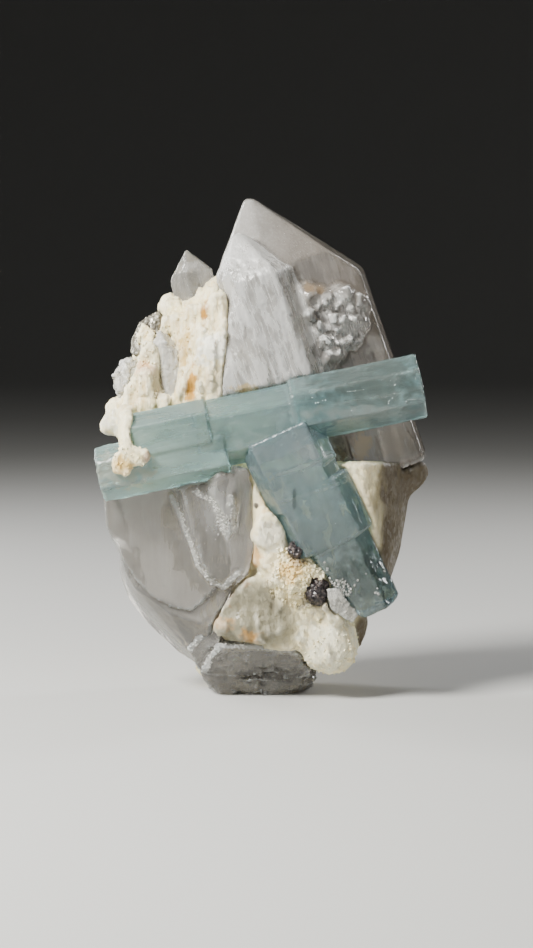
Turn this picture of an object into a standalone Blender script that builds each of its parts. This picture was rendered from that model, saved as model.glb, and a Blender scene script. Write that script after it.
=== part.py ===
"""Aquamarine crystals lying across a cluster of quartz and feldspar, 72 mm tall.

The specimen stands on its broken base. +Z is up, the side with the aquamarine looks along -Y, and the
origin is the middle of the flat broken base. Sizes are in millimetres and become metres when a mesh is made.

Every piece is built from convex cells: a crystal is what lies behind its flat faces, and a lump of massive
mineral is the hull of a few corner points. Cells of one mineral that overlap are united into one solid, and
a neighbour that is seated in it is cut by the same cells grown by the seat gap.
"""

import math
import random

import bmesh
import bpy
from mathutils import Matrix, Vector

MM = 0.001
SEAT_GAP = 0.32  # clearance between two minerals that touch
CORNER_MERGE = 0.05  # corners of a cell nearer than this are one corner
CENTRING_STEPS = 300
QUARTZ_TIP_ANGLE = math.radians(51.8)  # between a rhombohedral face's normal and the long axis

# Driving dimensions
QUARTZ_LEAN = math.radians(19)  # the big quartz leans this far to the left
QUARTZ_HALF_WIDTH = 9.65
AQUAMARINE_RISE = math.radians(11.5)  # the long crystal rises to the right
AQUAMARINE_HALF_HEIGHT = 4.6
SLANT_FROM_VERTICAL = math.radians(25)  # the slanted crystal runs down to the right
SLANT_BACKWARD = 0.09  # and a little away, by this share of its length
RIM_RECESS = 0.9  # the lower quartz's rim lies this far behind its front plate
BASE_LEVEL = 0.0


# ---------------------------------------------------------------- convex cells

def unit(x, y, z):
    return Vector((x, y, z)).normalized()


def axis_frame(axis):
    """(front, right) directions across a crystal's long axis; front is the one nearest to -Y."""
    toward_viewer = Vector((0, -1, 0))
    front = (toward_viewer - axis * toward_viewer.dot(axis)).normalized()
    return front, axis.cross(front)


def across(axis, angle_deg):
    """The direction across the axis at this angle from the front, turning to the right."""
    front, right = axis_frame(axis)
    angle = math.radians(angle_deg)
    return front * math.cos(angle) + right * math.sin(angle)


def prism_faces(axis, centre, distances, turn=0.0):
    """Side faces as (point, normal); distances maps each face's angle from the front to its distance."""
    faces = []
    for angle, distance in distances.items():
        normal = across(axis, angle + turn)
        faces.append((centre + normal * distance, normal))
    return faces


def tip_faces(axis, centre, heights, turn=0.0, tip_angle=QUARTZ_TIP_ANGLE):
    """Sloping end faces; heights maps each face's angle to where it crosses the long axis."""
    faces = []
    for angle, height in heights.items():
        outward = across(axis, angle + turn)
        normal = axis * math.cos(tip_angle) + outward * math.sin(tip_angle)
        faces.append((centre + axis * height, normal))
    return faces


def end_faces(axis, centre, low, high):
    """The two flat ends of a crystal, at these distances along its axis."""
    return [(centre + axis * low, -axis), (centre + axis * high, axis)]


def hull_mesh(points):
    """The convex hull of these corner points, in millimetres."""
    shape = bmesh.new()
    for point in points:
        shape.verts.new(point)
    made = bmesh.ops.convex_hull(shape, input=shape.verts)
    loose = {v for v in made["geom_interior"] + made["geom_unused"] if isinstance(v, bmesh.types.BMVert)}
    bmesh.ops.delete(shape, geom=list(loose), context="VERTS")
    bmesh.ops.recalc_face_normals(shape, faces=shape.faces)
    return shape


def hull_faces(*points):
    """The faces of the hull of these corner points, as (point, normal)."""
    shape = hull_mesh(points)
    bmesh.ops.dissolve_limit(shape, angle_limit=math.radians(1), verts=shape.verts, edges=shape.edges)
    shape.normal_update()
    faces = [(face.verts[0].co.copy(), face.normal.copy()) for face in shape.faces]
    shape.free()
    return faces


def pebble_faces(centre, radii, count, seed):
    """Tangent planes of an ellipsoid, spread evenly and each a little in or out, as on a knapped lump."""
    draw = random.Random(seed)
    golden = math.pi * (3 - math.sqrt(5))
    faces = []
    for i in range(count):
        height = 1 - 2 * (i + 0.5) / count
        ring = math.sqrt(1 - height * height)
        angle = golden * i + draw.uniform(-0.25, 0.25)
        normal = unit(ring * math.cos(angle), ring * math.sin(angle), height + draw.uniform(-0.12, 0.12))
        reach = math.sqrt(sum((r * n) ** 2 for r, n in zip(radii, normal)))
        faces.append((Vector(centre) + normal * reach * draw.uniform(0.93, 1.04), normal))
    return faces


def block_faces(centre, size, turn_deg, seed):
    """A cleavage block: three pairs of nearly square faces, with its corners chipped."""
    draw = random.Random(seed)
    turn = Matrix.Rotation(math.radians(turn_deg[2]), 3, "Z") @ Matrix.Rotation(math.radians(turn_deg[1]), 3, "Y")
    turn = turn @ Matrix.Rotation(math.radians(turn_deg[0]), 3, "X")
    faces = []
    for i in range(3):
        for side in (-1, 1):
            normal = Vector((0, 0, 0))
            normal[i] = side
            skew = Vector([draw.uniform(-0.1, 0.1) for _ in range(3)])
            normal = (normal + skew).normalized()
            faces.append((Vector(centre) + turn @ normal * size[i] / 2, turn @ normal))
    for x in (-1, 1):
        for y in (-1, 1):
            for z in (-1, 1):
                corner = Vector((x * size[0], y * size[1], z * size[2])) / 2
                normal = Vector((x / size[0], y / size[1], z / size[2])).normalized()
                inset = draw.uniform(0.70, 0.92)
                faces.append((Vector(centre) + turn @ (corner * inset), turn @ normal))
    return faces


def scattered_blocks(places, size, seed, tumble=9):
    """Blocks of about this size at these places, each turned and scaled a little by chance."""
    draw = random.Random(seed)
    cells = []
    for i, place in enumerate(places):
        scaled = [side * draw.uniform(0.8, 1.2) for side in size]
        turn = (draw.uniform(-tumble, tumble), draw.uniform(-2, 5 + tumble), draw.uniform(-28, 28))
        cells.append(block_faces(place, scaled, turn, seed * 100 + i))
    return cells


def inner_point(planes):
    """A point well inside all these (normal, distance) planes, found by stepping off the nearest one."""
    point = Vector((0, 0, 0))
    for normal, distance in planes:
        point += normal * distance / len(planes)
    for step in range(CENTRING_STEPS):
        normal, distance = min(planes, key=lambda plane: plane[1] - plane[0].dot(point))
        outside = max(0.0, normal.dot(point) - distance)
        point -= normal * (outside + 3.0 / (1 + step))
    return point


def cell_mesh(faces, grow=0.0):
    """Mesh in metres of the convex solid behind these faces, each moved out by grow.

    The hull of the faces' poles about a point inside has one triangle for each corner of the solid.
    """
    planes = [(normal, normal.dot(point) + grow) for point, normal in faces]
    inside = inner_point(planes)
    poles = hull_mesh([normal / (distance - normal.dot(inside)) for normal, distance in planes])
    poles.normal_update()
    corners = []
    for face in poles.faces:
        corners.append(inside + face.normal / face.normal.dot(face.verts[0].co))
    poles.free()
    distinct = []
    for corner in corners:
        if all((corner - other).length > CORNER_MERGE for other in distinct):
            distinct.append(corner)
    shape = hull_mesh(distinct)
    bmesh.ops.dissolve_limit(shape, angle_limit=math.radians(0.6), verts=shape.verts, edges=shape.edges)
    bmesh.ops.recalc_face_normals(shape, faces=shape.faces)
    bmesh.ops.scale(shape, vec=(MM, MM, MM), verts=shape.verts)
    mesh = bpy.data.meshes.new("cell")
    shape.to_mesh(mesh)
    shape.free()
    return mesh


# ---------------------------------------------------------------- solids

def cell_objects(cells, grow=0.0):
    """A collection that holds one object for each cell."""
    group = bpy.data.collections.new("cells")
    bpy.context.scene.collection.children.link(group)
    for faces in cells:
        group.objects.link(bpy.data.objects.new("cell", cell_mesh(faces, grow)))
    return group


def apply_boolean(obj, operation, cells, grow=0.0):
    """Joins the cells to the object, or cuts them from it, and clears the helpers away."""
    group = cell_objects(cells, grow)
    modifier = obj.modifiers.new("cells", "BOOLEAN")
    modifier.operation = operation
    modifier.operand_type = "COLLECTION"
    modifier.collection = group
    modifier.solver = "EXACT"
    bpy.context.view_layer.update()
    evaluated = obj.evaluated_get(bpy.context.evaluated_depsgraph_get())
    result = bpy.data.meshes.new_from_object(evaluated)
    obj.modifiers.clear()
    obj.data = result
    for helper in list(group.objects):
        bpy.data.objects.remove(helper)
    bpy.data.collections.remove(group)


def keep_largest_body(obj):
    """Drops the crumbs that a seat cut loose, and any void shut inside."""
    shape = bmesh.new()
    shape.from_mesh(obj.data)
    bmesh.ops.remove_doubles(shape, verts=shape.verts, dist=0.002 * MM)
    left = set(shape.verts)
    bodies = []
    while left:
        body, todo = set(), [left.pop()]
        while todo:
            vert = todo.pop()
            body.add(vert)
            for edge in vert.link_edges:
                other = edge.other_vert(vert)
                if other in left:
                    left.remove(other)
                    todo.append(other)
        bodies.append(body)

    def reach(body):
        return max(v.co.z for v in body) - min(v.co.z for v in body)

    bodies.sort(key=reach)
    crumbs = [v for body in bodies[:-1] for v in body]
    bmesh.ops.delete(shape, geom=crumbs, context="VERTS")
    shape.to_mesh(obj.data)
    shape.free()


def finish_material(name, colour, roughness, metallic=0.0):
    material = bpy.data.materials.new(name)
    material.use_nodes = True
    shader = material.node_tree.nodes["Principled BSDF"]
    shader.inputs["Base Color"].default_value = (*colour, 1)
    shader.inputs["Roughness"].default_value = roughness
    shader.inputs["Metallic"].default_value = metallic
    return material


def make_piece(name, cells, finish, seats=()):
    """One named solid: the union of its cells, cut by the grown cells of each piece seated in it."""
    obj = bpy.data.objects.new(name, cell_mesh(cells[0]))
    bpy.context.scene.collection.objects.link(obj)
    if len(cells) > 1:
        apply_boolean(obj, "UNION", cells[1:])
    neighbours = [faces for other in seats for faces in other]
    if neighbours:
        apply_boolean(obj, "DIFFERENCE", neighbours, SEAT_GAP)
    keep_largest_body(obj)
    obj.data.materials.clear()
    obj.data.materials.append(finish)
    return obj


# ---------------------------------------------------------------- aquamarine

def long_aquamarine_cells():
    """Four parallel lengths: clear right end, middle, and the two stacked crystals at the left."""
    axis = unit(math.cos(AQUAMARINE_RISE), 0, math.sin(AQUAMARINE_RISE))
    down = axis_frame(axis)[1]
    line = Vector((0, 0, 40.7))

    def length(start, end, rise, front, half_height, turn):
        apothem = half_height * math.cos(math.radians(30))
        centre = line - down * rise + Vector((0, front + apothem, 0))
        sides = prism_faces(axis, centre, dict.fromkeys(range(0, 360, 60), apothem), turn)
        return sides + end_faces(axis, centre, start, end)

    right = length(4.6, 23.1, 0.0, -15.5, AQUAMARINE_HALF_HEIGHT, -3)
    middle = length(-9.6, 5.0, -0.9, -15.1, 4.95, 3)
    middle.append((Vector((-2.9, -14, 33.0)), unit(0.62, -0.45, -0.75)))
    upper_left = length(-18.5, -7.6, 0.2, -15.75, 4.15, -4)
    lower_left = length(-24.2, -5.9, -3.3, -15.45, 3.95, 0)
    lower_left.append((Vector((-24.3, -12, 33.5)), unit(-1, -0.15, 0.10)))
    return [right, middle, upper_left, lower_left]


def slanted_aquamarine_cells():
    """Four stepped lengths, each a tabular prism with one broad face to the front."""
    lean = SLANT_FROM_VERTICAL
    axis = unit(math.sin(lean), SLANT_BACKWARD, -math.cos(lean))

    def step(x, z, front, half_width, up, down, turn=0.0):
        half_depth = 3.4
        centre = Vector((x, front + half_depth, z))
        side = half_depth * 0.5 + half_width * 0.866
        sides = {0: half_depth, 60: side, 120: side, 180: half_depth, 240: side, 300: side}
        return prism_faces(axis, centre, sides, turn) + end_faces(axis, centre, -up, down)

    first = step(3.9, 35.3, -16.0, 4.1, 4.1, 2.7, 2)
    second = step(5.7, 31.2, -15.5, 3.9, 4.0, 2.3, 3)
    third = step(8.6, 26.6, -15.1, 4.15, 5.0, 3.9, 4)
    fourth = step(13.1, 17.6, -14.0, 3.0, 8.0, 5.2, 6)
    fourth.append((Vector((18.9, -9, 14.0)), unit(0.9, -0.1, -0.5)))
    fourth.append((Vector((12.0, -9, 14.2)), unit(-0.8, -0.2, -0.7)))
    return [first, second, third, fourth]


# ---------------------------------------------------------------- quartz

def tall_quartz_cells():
    """The big crystal, the frosted crystal grown parallel on its front, and the crumbly growth beside it."""
    axis = unit(-math.sin(QUARTZ_LEAN), 0, math.cos(QUARTZ_LEAN))
    centre = Vector((8.9, 4.0, 49.1))
    width = QUARTZ_HALF_WIDTH
    sides = dict.fromkeys((30, 90, 150, 210, 270, 330), width)
    main = prism_faces(axis, centre, sides, turn=-5)
    main += tip_faces(axis, centre, {30: 26.8, 90: 22.6, 150: 25.4, 210: 27.4, 270: 29.6, 330: 30.0}, turn=-5)
    main += end_faces(axis, centre, -19.0, 40.0)
    main.append((Vector((-1.5, 4, 72.3)), unit(0.1, -0.1, 1)))

    front_centre = Vector((0.9, -5.8, 56.0))
    front = prism_faces(axis, front_centre, dict.fromkeys((358, 58, 118, 178, 238, 298), 5.0))
    front += tip_faces(axis, front_centre, {358: 11.4, 58: 11.2, 118: 12.5, 178: 13.0, 238: 13.5, 298: 13.0})
    front += end_faces(axis, front_centre, -14.0, 20.0)
    front_side = hull_faces(
        (-4.2, -8.4, 60.0), (-2.0, -10.2, 58.0), (-4.5, -9.8, 56.0), (-4.7, -10.4, 50.4), (-5.6, -11.0, 44.6),
        (-5.4, -11.2, 41.5), (0.5, -11.6, 41.5), (1.0, -11.4, 46.0), (-0.5, -10.9, 53.0), (-5.0, -2.0, 58.0),
        (-5.5, -2.0, 42.0), (2.0, -4.0, 59.0), (2.0, -4.0, 42.0),
    )

    crumb_places = [
        (6.9, 58.0), (9.3, 57.6), (11.8, 57.8), (14.0, 56.6), (7.4, 55.6), (9.8, 55.0), (12.2, 55.0), (14.0, 54.2),
        (8.2, 53.0), (10.6, 52.4), (12.4, 52.4), (8.9, 50.6), (10.4, 50.2), (9.0, 49.2),
    ]
    draw = random.Random(15)
    crumbs = [pebble_faces((10.2, -4.7, 54.4), (4.2, 2.0, 4.7), 24, 16)]
    for i, (x, z) in enumerate(crumb_places):
        depth = -6.6 + 0.42 * (x - 7.5)
        radii = [draw.uniform(1.4, 1.9), draw.uniform(1.3, 2.2), draw.uniform(1.3, 1.9)]
        crumbs.append(pebble_faces((x, depth, z), radii, 14, 150 + i))
    return [main, front, front_side] + crumbs


def lower_quartz_cells():
    """The big crystal at lower left: its front plate, its rim, the blade on its face and the tooth on the blade."""
    def on_face(x, z, recess=0.0):
        return (x, recess - 11.5 - 0.24 * (x + 9), z)

    def on_rim(x, z):
        return on_face(x, z, RIM_RECESS)

    plate = hull_faces(
        on_face(-22.7, 31), on_face(-6, 34), on_face(-5.5, 18), on_face(-8.1, 14.6), on_face(-10.3, 13.0),
        on_face(-12.9, 13.5), on_face(-15.6, 14.7), on_face(-18.0, 17.0), on_face(-20.2, 20.4), on_face(-22.4, 24.8),
        (-23.3, -3, 30), (-22.8, -1, 24.6), (-21.2, 0, 22.4), (-20.5, 7, 31), (-18, 8, 21), (-4, 8, 33), (-5, 8, 20),
        (-17.0, 0, 17.4), (-10, 0, 14.6),
    )
    rim = hull_faces(
        on_rim(-20.2, 23.5), on_rim(-6, 24), on_rim(-4.5, 16), on_rim(-7.4, 10.8), on_rim(-13.2, 12.5),
        on_rim(-18.3, 16.2), on_rim(-20.2, 19.5), (-20.6, 0, 22.6), (-20.9, 0, 17.7), (-20.6, 1, 15.7),
        (-19.6, 1, 13.3), (-17.7, 1, 10.7), (-15.4, 1, 8.5), (-12.3, 0, 5.6), (-9.0, -3.5, 4.0), (-17, 8, 22),
        (-15, 9, 11), (-9, 8, 4.6), (-4, 8, 22), (-4, 6, 5),
    )
    blade = hull_faces(
        (-12.6, -10.8, 31), (-9.9, -11.2, 20.2), (-8.5, -11.2, 17.8), (-5.1, -11.4, 15.7), (-1.9, -11.4, 18.2),
        (-1.1, -11.4, 22), (-1.2, -11.4, 31), (-3, -11.2, 34), (-11.4, -13.2, 31), (-8.6, -13.4, 20.5),
        (-7.4, -13.3, 18.5), (-4.9, -12.8, 17), (-2.6, -12.8, 19.2), (-2.0, -12.6, 24), (-2.2, -12.6, 32),
        (-6, -8, 33), (-6, -8, 19),
    )
    tooth = hull_faces(
        (-8.8, -12.2, 31.4), (-7.1, -12.4, 28.6), (-5.9, -12.6, 25.6), (-4.8, -12.8, 23.8), (-3.7, -12.6, 25.0),
        (-2.6, -12.2, 28.4), (-1.4, -11.8, 33.6), (-6.6, -14.6, 30), (-5.2, -14.5, 27), (-4.6, -13.9, 24.8),
        (-4.2, -14.4, 29.5), (-6.2, -14.6, 33), (-3.4, -13.6, 33.5), (-6, -11, 34),
    )
    return [plate, rim, blade, tooth]


def quartz_foot_cells():
    """The grey broken quartz at the bottom; the specimen stands on its flat break."""
    floor = (Vector((0, 0, BASE_LEVEL)), Vector((0, 0, -1)))
    foot = hull_faces(
        (-8.8, -5.5, 3.0), (-6.5, -7.8, 5.8), (-2.5, -8.4, 6.0), (4.5, -8.4, 5.2), (7.2, -6, 2.6), (5.8, -5.4, 1.2),
        (-7.9, -4.8, 1.5), (-5.6, -5.0, -0.4), (-2, -5.6, -0.4), (3.4, -5.2, -0.4), (-7.4, 2, -0.4), (7.0, 2, -0.4),
        (-8.6, 2, 4), (8.2, 2, 4), (0, 3, 9),
    )
    facet = hull_faces(
        (-10.5, -7.4, 6.7), (-7.6, -9.6, 10.4), (-6.0, -9.8, 9.6), (-6.2, -8.8, 5.8), (-8.4, -5.6, 2.8),
        (-9, -1, 4.2), (-8, -2, 9), (-5, -4, 6),
    )
    ledge = hull_faces(
        (-8.6, -8.0, 4.0), (-6.4, -10.1, 6.9), (-2.4, -10.7, 7.4), (4.4, -10.4, 6.8), (7.0, -8.4, 4.0),
        (-7.8, -7.6, 3.2), (-6.0, -9.4, 5.8), (-2.4, -9.9, 6.1), (4.2, -9.6, 5.4), (6.6, -7.8, 3.2),
        (-6, -4, 8), (6, -4, 7.5), (-6, -4, 5), (6, -4, 5),
    )
    return [foot + [floor], facet, ledge]


def small_point_cells():
    """The short pale point at upper left."""
    axis = unit(-math.sin(math.radians(13)), 0, math.cos(math.radians(13)))
    centre = Vector((-10.1, 0.2, 59.0))
    point = prism_faces(axis, centre, {30: 2.7, 90: 3.1, 150: 2.8, 210: 2.7, 270: 2.7, 330: 2.6}, turn=-8)
    point += tip_faces(axis, centre, {30: 6.4, 90: 6.2, 150: 6.4, 210: 6.0, 270: 5.3, 330: 5.9}, turn=-8)
    return [point + end_faces(axis, centre, -5.5, 20)]


def small_prism_cells():
    """The thin grey-white crystal that stands in the feldspar at left."""
    axis = unit(-math.sin(math.radians(8)), 0, math.cos(math.radians(8)))
    centre = Vector((-13.2, -6.4, 47.6))
    prism = prism_faces(axis, centre, dict.fromkeys(range(0, 360, 60), 1.75), turn=12)
    prism += tip_faces(axis, centre, {0: 6.2, 60: 4.6, 120: 6.4, 180: 6.6, 240: 6.6, 300: 6.0}, turn=12)
    return [prism + end_faces(axis, centre, -5.0, 12)]


def left_knob_cells():
    """The translucent knob on the left edge."""
    return [pebble_faces((-19.2, -4.6, 45.7), (1.85, 2.6, 3.0), 24, 21)]


def shard_cells():
    """The thin glassy splinter under the slanted aquamarine."""
    return [hull_faces(
        (9.2, -13.6, 16.4), (11.2, -13.9, 16.5), (13.7, -12.3, 12.7), (13.0, -12.3, 11.6), (9.9, -13.3, 13.4),
        (9.4, -11.2, 16.2), (11, -11.2, 16.2), (13.2, -10.0, 12.4), (12.4, -10.0, 11.6), (10, -10.6, 13.4),
    )]


# ---------------------------------------------------------------- feldspar, mica and dark grains

def upper_feldspar_cells():
    """The blocky, upright-grained feldspar at upper left."""
    body = hull_faces(
        (-7.6, -2.5, 60.2), (-5.0, -6.5, 60.0), (-13.2, -1.5, 56.4), (-14.2, -3.5, 52), (-16.5, -4.5, 44),
        (-14.5, -8.2, 42), (-4, -10.2, 41), (-4.2, -9.8, 50), (-4.4, -8.4, 57), (-8, 8, 57), (-12.5, 8, 50),
        (-15, 9, 41), (0, 10.5, 57), (1, 11, 40), (-3, 4, 60.5),
    )
    lower_left = hull_faces(
        (-18.8, -4, 49), (-15.5, -6.5, 49.5), (-19.6, -6.5, 42), (-14, -8.8, 42.5), (-21.6, -7, 38.6), (-16, -9, 39.5),
        (-18, 5, 48), (-19, 6, 40), (-14, 7, 46), (-14, 7, 39), (-21, -2, 38.2), (-19.8, 0, 44),
    )
    tall_places = [
        (-6.2, -7.2, 55.6), (-9.4, -5.4, 54.0), (-12.2, -4.0, 52.4), (-7.9, -7.6, 51.2), (-10.8, -6.6, 49.6),
        (-5.3, -8.9, 49.6), (-8.6, -8.2, 46.4), (-5.6, -9.3, 44.6), (-11.0, -7.6, 44.0), (-15.6, -6.2, 48.2),
        (-16.6, -7.2, 44.6), (-18.2, -6.8, 42.4),
    ]
    low_places = [
        (-4.8, -8.6, 53.6), (-7.4, -9.2, 49.2), (-6.9, -9.6, 42.8), (-9.8, -8.8, 42.6), (-14.2, -8.4, 42.4),
        (-19.6, -7.0, 40.6), (-17.0, -8.2, 41.6), (-10.2, -6.4, 52.0), (-7.6, -9.6, 46.0), (-12.6, -8.0, 41.6),
    ]
    blocks = scattered_blocks(tall_places, (3.2, 3.4, 6.2), 31) + scattered_blocks(low_places, (2.4, 2.4, 2.8), 32)
    lumps = [
        pebble_faces((-13.0, -1.6, 56.2), (2.1, 2.2, 1.3), 18, 41),
        pebble_faces((-16.0, -3.0, 51.2), (2.6, 2.6, 2.6), 20, 42),
        pebble_faces((-7.3, -8.8, 50.4), (2.3, 2.0, 2.3), 24, 45),
        pebble_faces((-20.9, -5.4, 41.6), (1.2, 1.7, 1.3), 16, 43),
        pebble_faces((-21.8, -6.2, 39.3), (1.3, 1.8, 1.3), 16, 44),
    ]
    return [body, lower_left] + blocks + lumps


def drape_cells():
    """The strip of feldspar over the left end of the long aquamarine, with its two drops."""
    strip = hull_faces(
        (-20.4, -7.0, 42.0), (-18.6, -7.0, 42.8), (-19.9, -14.8, 40.9), (-18.3, -15.1, 41.4), (-19.8, -16.9, 38.0),
        (-18.3, -17.1, 37.5), (-19.9, -16.8, 35.5), (-18.3, -17.0, 35.3), (-20.6, -7.0, 37.0), (-18.8, -7.0, 37.0),
    )
    left_drop = hull_faces(
        (-21.3, -16.2, 35.0), (-20.9, -16.9, 33.1), (-18.9, -16.9, 32.9), (-18.0, -16.9, 35.6), (-18.6, -17.2, 36.8),
        (-20.0, -17.2, 36.4), (-21.0, -14.0, 34.6), (-20.6, -14.0, 33.0), (-18.6, -14.0, 33.2), (-18.2, -14.0, 36.6),
    )
    right_drop = hull_faces(
        (-18.6, -17.2, 36.9), (-18.4, -17.1, 34.6), (-16.8, -17.1, 34.2), (-15.5, -16.7, 35.4), (-16.0, -16.9, 36.6),
        (-18.6, -14, 36.9), (-18.4, -14, 34.6), (-16.8, -14, 34.4), (-15.7, -14, 35.6), (-16.2, -14, 36.6),
    )
    return [strip, left_drop, right_drop]


def middle_feldspar_cells():
    """The feldspar between the blade and the slanted aquamarine, down to the round white lump."""
    wedge = hull_faces(
        (-2.0, -11.8, 33.6), (1.0, -12.8, 33.4), (4.0, -12.8, 27), (7.4, -12.6, 20.5), (2.5, -12.4, 18.2),
        (-1.4, -12.0, 20.0), (-1.6, -12.0, 27), (-2, -4, 34), (8, -4, 34), (8, -4, 18), (-2, -4, 18),
    )
    front = hull_faces(
        (-6.4, -11.8, 13.9), (-1.9, -12.4, 18.0), (2.2, -13.0, 17.4), (8.4, -12.2, 15.8), (9.8, -11.0, 12),
        (6.4, -11.6, 8), (4.6, -11.3, 7.2), (0.4, -11.4, 8.0), (-4.4, -11.0, 9.0), (-8.4, -9.8, 11.4),
        (-6, 0, 16), (12, 0, 15), (11, 0, 6.6), (-8, 0, 7.4),
    )
    lumps = [
        block_faces((1.0, -12.0, 24.9), (4.4, 3.6, 5.2), (8, 30, 12), 51),
        pebble_faces((9.7, -8.4, 8.1), (4.3, 4.4, 4.5), 48, 53),
        pebble_faces((-0.4, -11.2, 11.2), (5.0, 1.7, 2.6), 26, 54),
        pebble_faces((10.6, -11.4, 18.6), (2.6, 2.0, 2.0), 18, 55),
        pebble_faces((-5.2, -10.7, 11.0), (2.2, 1.5, 1.6), 18, 56),
    ]
    sugar_places = [
        (2.4, -12.4, 21.4), (4.4, -12.8, 20.4), (6.4, -12.6, 19.4), (3.0, -12.8, 19.0), (5.2, -13.0, 18.2),
        (7.4, -12.4, 18.2), (4.0, -12.8, 17.0), (6.2, -12.6, 16.6), (1.0, -12.4, 20.2), (2.2, -12.6, 17.6),
        (9.4, -12.4, 14.4), (10.4, -12.0, 12.6),
    ]
    lumps += scattered_blocks(sugar_places, (2.0, 1.8, 2.0), 52)
    brown = hull_faces(
        (12.6, -7.6, 12.2), (15.4, -5.2, 11.8), (15.6, -3, 10.4), (15.4, -2, 8.5), (14.5, -2, 6.6), (12.8, -4, 6.0),
        (12.4, -7.2, 8), (12.8, 2, 11.4), (12.8, 2, 6.8), (9, 0, 9),
    )
    return [wedge, front, brown] + lumps


def right_feldspar_cells():
    """The right side: a cream face beside the slanted aquamarine and a brown face round the corner."""
    side = hull_faces(
        (9.6, -13.0, 34.0), (11.6, -13.2, 30.4), (13.6, -13.0, 25.6), (16.0, -12.0, 21.6), (17.8, -9.4, 18.0),
        (14.6, -12.2, 34.3), (17.4, -9.4, 34.2), (17.6, -9.0, 27), (18.3, -7.0, 19.2), (20.4, -4, 33.6),
        (22.2, 0, 33.2), (21.2, 0, 28.4), (20.9, 0, 24.5), (20.3, 0, 20.8), (18.6, 0, 15.8), (19.5, 7, 33),
        (18.5, 7, 20), (13, 11, 32), (13, 10, 15), (16.6, -4, 13.4), (8, -6, 34), (8, -6, 14),
    )
    bump = hull_faces(
        (19.4, -5.4, 34.2), (23.9, -1.2, 33.9), (24.6, 0, 32.0), (23.9, 0, 30.5), (21.5, -1.4, 28.6), (19.2, -5.2, 30),
        (22.8, 4, 33.4), (21.4, 5, 29.8), (18, 3, 28), (18, 3, 34.4),
    )
    return [side, bump]


def core_cells():
    """The body of the rock behind, broken into steps at the back and flat at the bottom."""
    floor = (Vector((0, 0, BASE_LEVEL)), Vector((0, 0, -1)))
    back_places = [
        (-6.0, 9.6, 50.0), (-9.6, 7.6, 46.0), (-3.4, 10.6, 44.0), (-8.6, 9.2, 39.6), (-2.6, 10.4, 37.4),
        (-12.0, 7.2, 34.0), (-6.4, 9.8, 32.0), (0.6, 10.6, 31.0), (6.4, 10.4, 27.6), (-3.0, 10.4, 25.6),
        (3.4, 10.6, 22.6), (9.6, 9.4, 21.0), (-5.6, 9.2, 18.6), (0.4, 10.0, 16.0), (6.4, 8.8, 15.0),
        (-3.6, 8.6, 10.4), (3.2, 8.6, 9.0), (13.8, 10.6, 28.0), (16.4, 7.6, 24.0), (12.4, 8.0, 17.0),
    ]
    lumps = [
        pebble_faces((1.0, 3.0, 23.5), (16.4, 8.6, 18.5), 64, 61),
        pebble_faces((-5.6, 3.2, 45.5), (9.6, 7.6, 11.5), 44, 62),
        pebble_faces((-0.8, 2.6, 7.5), (9.3, 8.4, 10.0), 48, 63) + [floor],
        pebble_faces((12.0, 5.5, 25.5), (8.6, 7.4, 9.0), 40, 64),
        pebble_faces((-14.5, 1.5, 41.5), (6.4, 5.6, 6.0), 30, 67),
    ]
    return lumps + scattered_blocks(back_places, (6.0, 4.6, 7.4), 65, tumble=30)


def mica_cells():
    """The silver-grey book of mica at upper left, its sheets standing nearly upright."""
    return [hull_faces(
        (-18.9, -3.4, 49.6), (-18.8, -3.2, 52.0), (-17.9, -3.0, 53.9), (-16.5, -2.8, 55.1), (-14.8, -2.6, 55.8),
        (-14.4, -4.4, 53.0), (-15.2, -5.4, 50.8), (-18.2, -5.2, 49.6), (-18.4, 0.8, 50.2), (-17.2, 1.4, 53.6),
        (-14.8, 1.4, 55.2), (-14.6, 1.2, 50.8),
    )]


def dark_grain_cells(large):
    """One of the two nearly black grains by the slanted aquamarine."""
    if large:
        return [pebble_faces((7.9, -12.5, 16.0), (1.5, 1.5, 1.9), 18, 71)]
    return [pebble_faces((4.9, -13.4, 22.0), (1.1, 1.2, 0.95), 16, 72)]


# ---------------------------------------------------------------- the specimen

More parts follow.
